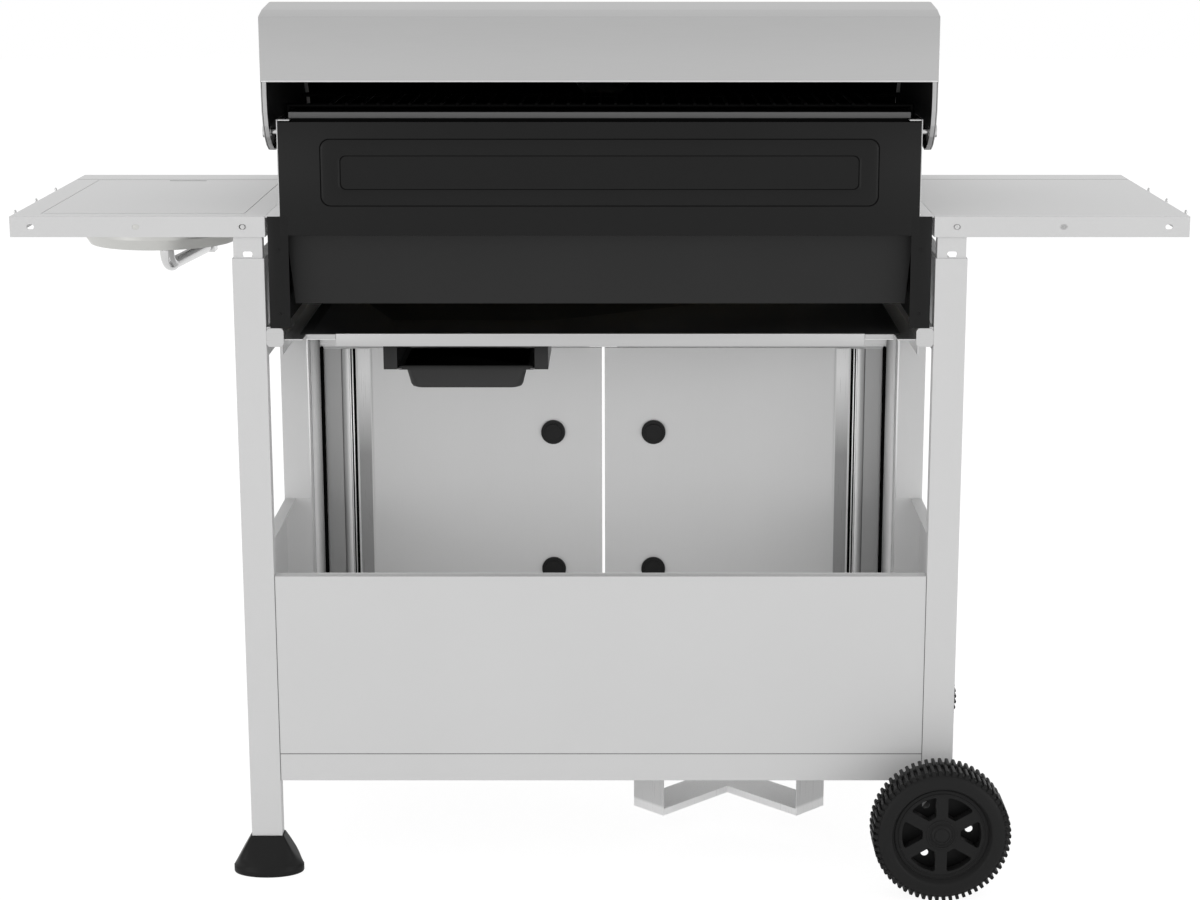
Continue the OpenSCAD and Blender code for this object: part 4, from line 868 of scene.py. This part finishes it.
class GRILL_OT_feet(bpy.types.Operator):
    """Moulds the two feet: oval on the floor and straight sided where they take the legs"""
    bl_idname = "grill.feet"
    bl_label = "Feet"

    def execute(self, context):
        feet = Box("feet")
        x = LEG.mid("x")
        height = feet.z[1]
        shape = Shape()
        steps = 12
        for leg in (LEG, Box("leg_front_right")):
            half = Vector((leg.size("x") / 2, leg.size("d") / 2))
            oval = Vector((feet.size("x") / 2, half.y + 18))
            rim, rounding, play = 10.5, Vector((0.7, 0.7)), Vector((0.35, 0.35))
            levels = [(0.0, oval - Vector((1.8, 1.8)), 0.0), (0.5, oval - rounding, 0.0),
                      (1.8, oval, 0.0), (rim - 0.8, oval, 0.0), (rim, oval - rounding, 0.0)]
            top = half + Vector((2.0, 2.0))
            for i in range(1, steps + 1):
                share = i / steps
                rise = (height - rim - 0.6) * share
                levels.append((rim + rise, (oval - rounding).lerp(top, share), share ** 0.8))
            levels += [(height, top - Vector((0.5, 0.5)), 1.0), (height, half + play, 1.0),
                       (height - 30, half + play, 1.0)]
            shape.bridge([self.ring(shape, x, leg.mid("d"), *level) for level in levels])
        shape.make("foot_mouldings", "cart", "foot_black", ["feet"], sharp=50)
        return {"FINISHED"}

    @staticmethod
    def ring(shape, x, d, z, size, squareness):
        """A ring between an oval, at squareness 0, and a rectangle with small corners, at squareness 1."""
        sides = 64
        power = 2 + 16 * squareness ** 2
        points = []
        for i in range(sides):
            turn = tau * (i + 0.5) / sides
            reach = (abs(cos(turn)) ** power + abs(sin(turn)) ** power) ** (-1 / power)
            points.append((x + size.x * reach * cos(turn), d + size.y * reach * sin(turn), z))
        return shape.ring(points)


class WheelForm:
    """Radii, places and counts of a wheel, in millimetres."""
    radius = Box("wheel_rear").size("z") / 2
    width = 56
    lug = 4
    lugs = 62
    root = radius - lug
    face = root - 20
    windows = (24.4, 51)
    spokes = 6
    spoke = 7.6
    holes = 3
    hole = 5
    ribs = (55.3, 59.8)
    hub = 15
    dish = 9
    disc = dish + 22


class GRILL_OT_wheels(bpy.types.Operator):
    """Moulds the wheels: a ribbed tread, a spoked face over a disc with three holes, and a hub cap"""
    bl_idname = "grill.wheels"
    bl_label = "Wheels"

    def execute(self, context):
        for name, body, outward in (("wheel_rear", "rear_wheel", 1), ("wheel_front", "front_wheel", -1)):
            box = Box(name)
            outer = box.d[0] if outward > 0 else box.d[1]
            self.centre = (box.mid("x"), outer, box.mid("z"))
            self.toward = Vector((0, -outward, 0))
            self.base = facing(self.centre, self.toward)
            shape = Shape()
            self.tyre(shape)
            self.lugs(shape)
            self.face(shape)
            self.hub(shape, box.size("d"))
            shape.make(name + "_moulding", body, "wheel_black", [name], sharp=40)
        return {"FINISHED"}

    def turned(self, shape, profile, sides=72):
        shape.lathe(profile, self.centre, self.toward, sides)

    def tyre(self, shape):
        form = WheelForm
        root, width, face = form.root, form.width, form.face
        back = form.dish + 3
        self.turned(shape, [
            (face - 7, back), (face - 3.5, form.dish), (face - 1, 1.6), (face + 1, 0.3), (face + 3, 0),
            (root - 9, 1.2), (root - 4, 2.6), (root - 1.2, 5), (root, 8), (root, width - 8),
            (root - 1.2, width - 5), (root - 4, width - 2.6), (root - 9, width - 1.2), (face + 2, width),
            (face - 3, width - 4), (face - 7, width - back), (face - 7, back)], 96)

    def lugs(self, shape):
        """Two rows of lugs round the tread, the second half a step on."""
        form = WheelForm
        margin, gap, sunk, share = 2.6, 0.8, 3, 0.52
        length = form.width / 2 - margin - gap
        thick = tau * form.root / form.lugs * share
        tall = form.lug + sunk
        for row, start in ((0, margin), (1, form.width - margin - length)):
            old = set(shape.bm.verts)
            size = Matrix.Diagonal((tall * MM, thick * MM, length * MM, 1))
            place = Matrix.Rotation(tau * row / 2 / form.lugs, 4, "Z") @ Matrix.Translation(
                ((form.radius - tall / 2) * MM, 0, (start + length / 2) * MM))
            bmesh.ops.create_cube(shape.bm, size=1, matrix=place @ size)
            crest = [edge for edge in {e for vert in shape.new_since(old) for e in vert.link_edges}
                     if all(vert.co.xy.length > (form.radius - 2) * MM for vert in edge.verts)]
            shape.bevel(crest, 1.0, 1)
            fresh = shape.new_since(old)
            parts = {part for vert in fresh for part in (*vert.link_edges, *vert.link_faces)}
            bmesh.ops.spin(shape.bm, geom=fresh + list(parts), cent=(0, 0, 0), axis=(0, 0, 1),
                           dvec=(0, 0, 0), angle=tau * (form.lugs - 1) / form.lugs, steps=form.lugs - 1,
                           use_duplicate=True)
            bmesh.ops.transform(shape.bm, matrix=self.base, verts=shape.new_since(old))

    def face(self, shape):
        """A dished face with six windows, over a deeper disc with three through holes."""
        form = WheelForm
        dish = form.dish
        middle = sum(form.windows) / 2
        rim = self.circle((0, 0), form.face - 3, 72)
        windows = [self.window(tau * i / form.spokes) for i in range(form.spokes)]
        holes = [self.circle((middle * cos(turn), middle * sin(turn)), form.hole, 20)
                 for turn in (tau * (i + 0.5) / form.holes for i in range(form.holes))]
        self.pierced(shape, [rim, *windows], dish, 14)
        self.pierced(shape, [rim, *holes], form.disc, 2)
        for radius in form.ribs:
            self.turned(shape, [(radius - 0.8, dish + 1), (radius - 0.6, dish - 0.9),
                                (radius + 0.6, dish - 0.9), (radius + 0.8, dish + 1),
                                (radius - 0.8, dish + 1)])

    @staticmethod
    def circle(centre, radius, count):
        return arc(centre, radius, 0, 360, count)[:-1]

    @staticmethod
    def window(turn):
        """A window between two spokes, with a straight inner edge and rounded corners."""
        form = WheelForm
        inner, outer = form.windows
        # The tangent and the secant of 30 degrees, half the step from spoke to spoke
        tangent, secant = 0.577, 1.155
        half = inner * tangent - form.spoke * secant
        side = radians(30) - form.spoke / outer
        steps = 10
        curve = [(outer * cos(angle), outer * sin(angle))
                 for angle in (side * (2 * i / steps - 1) for i in range(steps + 1))]
        radii = [1.5, 2.5, *[0] * (steps - 1), 2.5, 1.5]
        loop = rounded([(inner, -half), *curve, (inner, half)], radii, 4)
        return [(x * cos(turn) - y * sin(turn), x * sin(turn) + y * cos(turn)) for x, y in loop]

    def pierced(self, shape, loops, height, thickness):
        """A plate between its rim and its holes, from a height down its own axis."""
        old = set(shape.bm.verts)
        edges = []
        for loop in loops:
            verts = [shape.bm.verts.new((x * MM, y * MM, height * MM)) for x, y in loop]
            edges += [shape.bm.edges.new(pair) for pair in zip(verts, verts[1:] + verts[:1])]
        filled = bmesh.ops.triangle_fill(shape.bm, use_beauty=True, edges=edges)["geom"]
        faces = [item for item in filled if isinstance(item, bmesh.types.BMFace)]
        made = bmesh.ops.extrude_face_region(shape.bm, geom=faces, use_keep_orig=True)["geom"]
        lifted = [item for item in made if isinstance(item, bmesh.types.BMVert)]
        bmesh.ops.translate(shape.bm, vec=(0, 0, thickness * MM), verts=lifted)
        fresh = shape.new_since(old)
        bmesh.ops.recalc_face_normals(shape.bm, faces=shape.faces_of(fresh))
        bmesh.ops.transform(shape.bm, matrix=self.base, verts=fresh)

    def hub(self, shape, length):
        """A boss for the axle, a domed cap over its end and a ring round the cap."""
        hub, dish = WheelForm.hub, WheelForm.dish
        self.turned(shape, [(6, dish + 4), (hub, dish + 4), (hub, length), (6, length), (6, dish + 4)], 40)
        self.turned(shape, [(0, dish - 3.4), (9, dish - 3), (9.6, dish - 2.2), (9.9, dish - 3),
                            (12.6, dish - 2.2), (14, dish - 0.6), (14, dish + 1), (0, dish + 1)], 48)
        self.turned(shape, [(17, dish + 1), (17.3, dish - 1), (19.5, dish - 1), (20, dish + 1),
                            (17, dish + 1)], 48)


class GRILL_OT_knobs(bpy.types.Operator):
    """Moulds the knobs with a fluted grip and a white pointer, and rings them with marked bezels"""
    bl_idname = "grill.knobs"
    bl_label = "Knobs"

    def execute(self, context):
        rings, marks = Shape(), Shape()
        for label in ("1", "2", "3", "4", "side"):
            box = Box("knob_" + label)
            stem = Box("valve_stem_" + label)
            x, z = stem.mid("x"), stem.mid("z")
            radius = box.size("x") / 2
            knob = Shape()
            self.grip(knob, (x, box.d[0], z), radius, box.size("d"))
            knob.make("knob_grip_" + label, "dial_" + label, "knob_black", ["knob_" + label])
            pointer = Shape()
            pointer.block((x - 0.9, x + 0.9), (box.d[1] - 1.5, box.d[1] + 0.3), (z + 3, z + radius - 11), 0.3)
            pointer.make("knob_pointer_" + label, "dial_" + label, "dial_white")
            self.bezel(rings, marks, (x, box.d[0] - 9, z), radius - 14, radius + 9)
        rings.make("bezel_rings", "cart", "bright_wire", ["knob_bezels"])
        marks.make("dial_marks", "cart", "knob_black")
        return {"FINISHED"}

    @staticmethod
    def bezel(rings, marks, centre, inner, outer):
        """A ring round a knob, and three rows of dots that shrink outwards."""
        rings.lathe([(inner, 0), (outer, 0), (outer, 2.4), (outer - 1.2, 4), (outer - 3, 4.2),
                     (outer - 4, 3.2), (outer - 4.6, 1.5), (inner, 1.5), (inner, 0)], centre, (0, -1, 0), 72)
        x, face, z = centre
        for turn in (radians(angle) for angle in (90, 0, -45)):
            for k in range(3):
                reach = outer + 4 + 3.2 * k
                dot_x, dot_z = x + reach * cos(turn), z + reach * sin(turn)
                marks.rod((dot_x, face - 0.3, dot_z), (dot_x, face + 0.25, dot_z), 0.9 - 0.2 * k)

    @staticmethod
    def grip(shape, centre, radius, length):
        shape.lathe([(0, 0.3), (radius - 1, 0.3), (radius, 1.3), (radius, 4.2), (radius - 1, 5.4),
                     (radius - 5, 7.2), (0, 7.2)], centre, (0, -1, 0), 64)
        steps, flutes = 96, 12
        x, d, z = centre
        rings = []
        levels = ((6.5, 6, 0.9), (length - 3, 7, 0.9), (length - 1, 8, 0.8), (length, 10, 0))
        for height, inset, wave in levels:
            points = []
            for turn in (tau * i / steps for i in range(steps)):
                reach = radius - inset + wave * cos(flutes * turn)
                points.append((x + reach * cos(turn), d + height, z + reach * sin(turn)))
            rings.append(shape.ring(points))
        shape.bridge(rings)


class GRILL_OT_hooks(bpy.types.Operator):
    """Bends the tool hooks from wire, each on a small plate"""
    bl_idname = "grill.hooks"
    bl_label = "Tool hooks"

    def execute(self, context):
        box = Box("tool_hooks")
        wire, bend, plate = 1.8, 6, 5
        z = box.z[0] + plate
        tip = box.x[1] - wire
        start = SHELF.x[1]
        shape = Shape()
        for d in (box.d[0] + plate, box.mid("d"), box.d[1] - plate):
            end = (tip, d, z + 8)
            turned = [(x, d, height) for x, height in arc((tip - bend, z + bend), bend, -90, 0, 6)]
            shape.bar([(start - 1, d, z), *turned, end], wire, 14)
            shape.lathe([(0, wire), (wire * 0.7, wire * 0.7), (wire, 0), (0, 0)], end, (0, 0, 1), 14)
            shape.lathe([(0, 0), (plate, 0), (plate, 1.2), (3, 2), (0, 2)], (start, d, z), (1, 0, 0), 28)
        shape.both_sides()
        shape.make("hook_wires", "cart", "bright_wire", ["tool_hooks"])
        return {"FINISHED"}


class GRILL_OT_grease(bpy.types.Operator):
    """Makes the tray's bright rear lip and the pressed grease cup with its rolled rim"""
    bl_idname = "grill.grease"
    bl_label = "Grease tray and cup"

    def execute(self, context):
        self.tray_lip()
        bracket = Box("cup_bracket")
        end = 18
        ends = Shape()
        for x in ((bracket.x[0], bracket.x[0] + end), (bracket.x[1] - end, bracket.x[1])):
            ends.block(x, (bracket.d[0] - 1.2, bracket.d[0] - 0.1), bracket.z, 0.4)
        ends.make("bracket_ends", "cart", "tray_enamel")
        self.cup()
        return {"FINISHED"}

    @staticmethod
    def tray_lip():
        """The lip and its hem, each with a lower wing on either side."""
        tray = Box("drip_tray")
        rear, top = tray.d[0], tray.z[1]
        half, wing = tray.x[1] - 46, tray.x[1] - 9
        near = rear - 0.1
        # The hem is a real fold with a painted highlight, brighter than the lip
        for name, finish, middle_d, middle_z, wing_d, wing_z, rounds in (
                ("tray_lip", "lip_steel", (rear - 1.4, near), (top - 16, top),
                 (rear - 0.9, near), (top - 6.5, top - 0.4), (0.5, 0.3)),
                ("tray_hem", "bright_hem", (rear - 1.7, rear + 3), (top - 0.7, top + 0.3),
                 (rear - 1.5, near), (top - 7.4, top - 5.9), (0.4, 0.4))):
            shape = Shape()
            shape.block((-half, half), middle_d, middle_z, rounds[0])
            for side in (-1, 1):
                shape.block(beside(side, half + 0.3, wing), wing_d, wing_z, rounds[1])
            shape.make(name, "tray", finish)

    @staticmethod
    def cup():
        """A pressed cup, from levels of a height, an inset from its box and a corner radius."""
        cup = Box("grease_cup")
        floor, rim = cup.z
        outer = [(floor, 21, 12), (floor + 1.5, 17.5, 12), (floor + 5, 15.5, 12), (rim - 6, 10.5, 10),
                 (rim - 3, 9.8, 9), (rim - 2.2, 8, 8), (rim - 2.2, 2, 5), (rim - 5.2, 1.2, 5),
                 (rim - 5.2, 0, 4), (rim - 0.6, 0, 4), (rim, 0.9, 5)]
        inner = [(rim, 8, 8), (rim - 1.2, 10.8, 9), (rim - 6, 11.9, 10), (floor + 5, 16.8, 12),
                 (floor + 2.4, 18.8, 12), (floor + 1.4, 22, 12)]
        squash = 0.55
        shape = Shape()
        rings = []
        for z, inset, radius in outer + inner:
            across = inset * squash
            outline = box_outline((cup.x[0] + inset, cup.x[1] - inset),
                                  (cup.d[0] + across, cup.d[1] - across), radius)
            rings.append(shape.ring([(x, d, z) for x, d in outline]))
        shape.bridge(rings)
        shape.make("cup_pressing", "cup", "tray_enamel", ["grease_cup"], sharp=60)


class DoorForm:
    """Distances from the middle plane to the folds behind each door, in millimetres."""
    flange = (337.6, 355.4)
    hems = ((367, 365.9), (363.6, 362.3), (358.2, 356.4))
    grooves = ((365.6, 363.8), (362, 358.6))
    roll = ((367.5, 0.2), (368, 1.2), (370, 1.9), (373, 2.1), (376, 1.9), (378.4, 1.2), (379.4, 0.1))
    strip = (379.6, 403.4)
    seal = (404.6, 408.6)
    jamb = (408.8, 422.2)


class GRILL_OT_door_edges(bpy.types.Operator):
    """Lines the doors' inner sides: a rolled edge, hems with black strips of painted shade in the grooves
    between them, black strips of painted shade in the gaps by the frame, jambs, and painted highlights on the
    front legs' inner edges
    """
    bl_idname = "grill.door_edges"
    bl_label = "Door edges"

    def execute(self, context):
        for side, name in ((-1, "left"), (1, "right")):
            self.door(side, name)
        door = Box("door_right")
        frame_box = Box("front_frame")
        back = frame_box.d[0]
        floor = Box("bottom_shelf").z[1]
        # Painted shade: black strips in the gaps between the doors and the frame
        gap_shades = Shape()
        for side in (-1, 1):
            gap_shades.block(beside(side, *DoorForm.seal), (back + 0.2, door.d[0] + 2.5),
                        (door.z[0] - 2, door.z[1] + 1.5), 0.5)
        gap_shades.make("door_seals", "cart", "groove_black")
        # The jambs carry painted shade, darker towards the door gap
        jambs = Shape()
        jambs.block(DoorForm.jamb, (back - 0.8, back + 0.2), (floor, frame_box.z[1] - 1), 0.3)
        jambs.both_sides()
        jambs.make("door_jambs", "cart", "jamb_steel")
        # Painted highlight: bright strips along the front legs' inner edges
        leg = Box("leg_front_right")
        edges = Shape()
        edges.block((leg.x[0] - 0.1, leg.x[0] + 2), (leg.d[0] - 0.4, leg.d[0] + 0.6),
                    (floor, leg.z[1] - 4), 0.35)
        edges.both_sides()
        edges.make("leg_hems", "cart", "bright_hem")
        return {"FINISHED"}

    @staticmethod
    def door(side, name):
        """Everything that is folded behind one door."""
        door = Box("door_" + name)
        z = (door.z[0] + 1.5, door.z[1] - 1.5)
        back = door.d[0]
        front = back + 0.4
        # The roll carries a painted reflection, darker towards its outer edge
        roll = Shape()
        crest = [(side * x, back - rise) for x, rise in DoorForm.roll]
        roll.slab([*crest, (crest[-1][0], front), (crest[0][0], front)], z)
        roll.make("door_roll_" + name, name + "_door", "roll_steel")
        liner = Box("door_liner_" + name).d[0]
        # The strip is painted darker than the door's steel and the grooves are black strips of painted shade;
        # the hems are real folds, painted brighter as a highlight
        for part, finish, ranges, d, round_by, segments in (
                ("strip", "strip_steel", [DoorForm.strip], (back - 0.4, front), 0.1, 1),
                ("flange", "flange_steel", [DoorForm.flange], (liner - 0.3, liner + 0.3), 0.1, 1),
                ("hems", "bright_hem", DoorForm.hems, (back - 1.4, front), 0.45, 2),
                ("grooves", "groove_black", DoorForm.grooves, (back - 0.35, front), 0.1, 1)):
            shape = Shape()
            for near, far in ranges:
                shape.block(beside(side, near, far), d, z, round_by, segments)
            shape.make(f"door_{part}_{name}", name + "_door", finish)


class GRILL_OT_trim(bpy.types.Operator):
    """Adds thin trim: shelf seams, panel seams and screw heads"""
    bl_idname = "grill.trim"
    bl_label = "Trim"

    def execute(self, context):
        seam = Shape()
        front = SHELF.d[1] - 57
        shelf = Box("bottom_shelf")
        panel = Box("rear_panel")
        for side in (-1, 1):
            seam.block(beside(side, HOOD.x[1] + 1, SHELF.x[1] - 1.5), (front, front + 1.1),
                       (SHELF.z[1] - 0.5, SHELF.z[1] + 0.15), 0.1, 1)
            seam.block(beside(side, LEG.x[0] - 0.9, LEG.x[0] + 0.1), (0.9, 1.1),
                       (shelf.z[0], panel.z[1]), 0.02, 1)
        seam.block(panel.x, (0.8, 1.4), (panel.z[0] - 0.6, panel.z[0] + 0.5), 0.1, 1)
        seam.make("seams", "cart", "seam_shadow")
        heads = Shape()
        for side in (-1, 1):
            heads.lathe([(0, 1.6), (1.4, 1.6), (1.4, 0.8), (2.9, 0.8), (3.2, -1.4), (0, -1.4)],
                        (side * (HOOD.x[1] + 28), 0, SHELF.z[1] - 13), (0, 1, 0), 24)
        heads.make("shelf_screws", "cart", "bright_wire")
        return {"FINISHED"}


OPERATORS = (GRILL_OT_finishes, GRILL_OT_hood_skin, GRILL_OT_hood_handle, GRILL_OT_thermometer,
             GRILL_OT_back, GRILL_OT_feet, GRILL_OT_wheels, GRILL_OT_knobs, GRILL_OT_hooks,
             GRILL_OT_grease, GRILL_OT_door_edges, GRILL_OT_trim, GRILL_OT_stage)
GROUPS = {"grill_colours": GrillColours, "grill_studio": GrillStudio}


class GRILL_PT_dressing(bpy.types.Panel):
    bl_label = "Gas grill"
    bl_idname = "GRILL_PT_dressing"
    bl_space_type = "VIEW_3D"
    bl_region_type = "UI"
    bl_category = "Grill"

    def draw(self, context):
        for group in GROUPS:
            values = getattr(context.scene, group)
            for name in values.__annotations__:
                self.layout.prop(values, name)
        for operator in OPERATORS:
            self.layout.operator(operator.bl_idname)


def register():
    for cls in (*GROUPS.values(), *OPERATORS, GRILL_PT_dressing):
        bpy.utils.register_class(cls)
    for name, cls in GROUPS.items():
        setattr(bpy.types.Scene, name, PointerProperty(type=cls))


def unregister():
    for name in GROUPS:
        delattr(bpy.types.Scene, name)
    for cls in (GRILL_PT_dressing, *reversed(OPERATORS), *reversed(list(GROUPS.values()))):
        bpy.utils.unregister_class(cls)


def main():
    register()
    for operator in OPERATORS:
        family, name = operator.bl_idname.split(".")
        getattr(getattr(bpy.ops, family), name)()


if __name__ == "__main__":
    main()
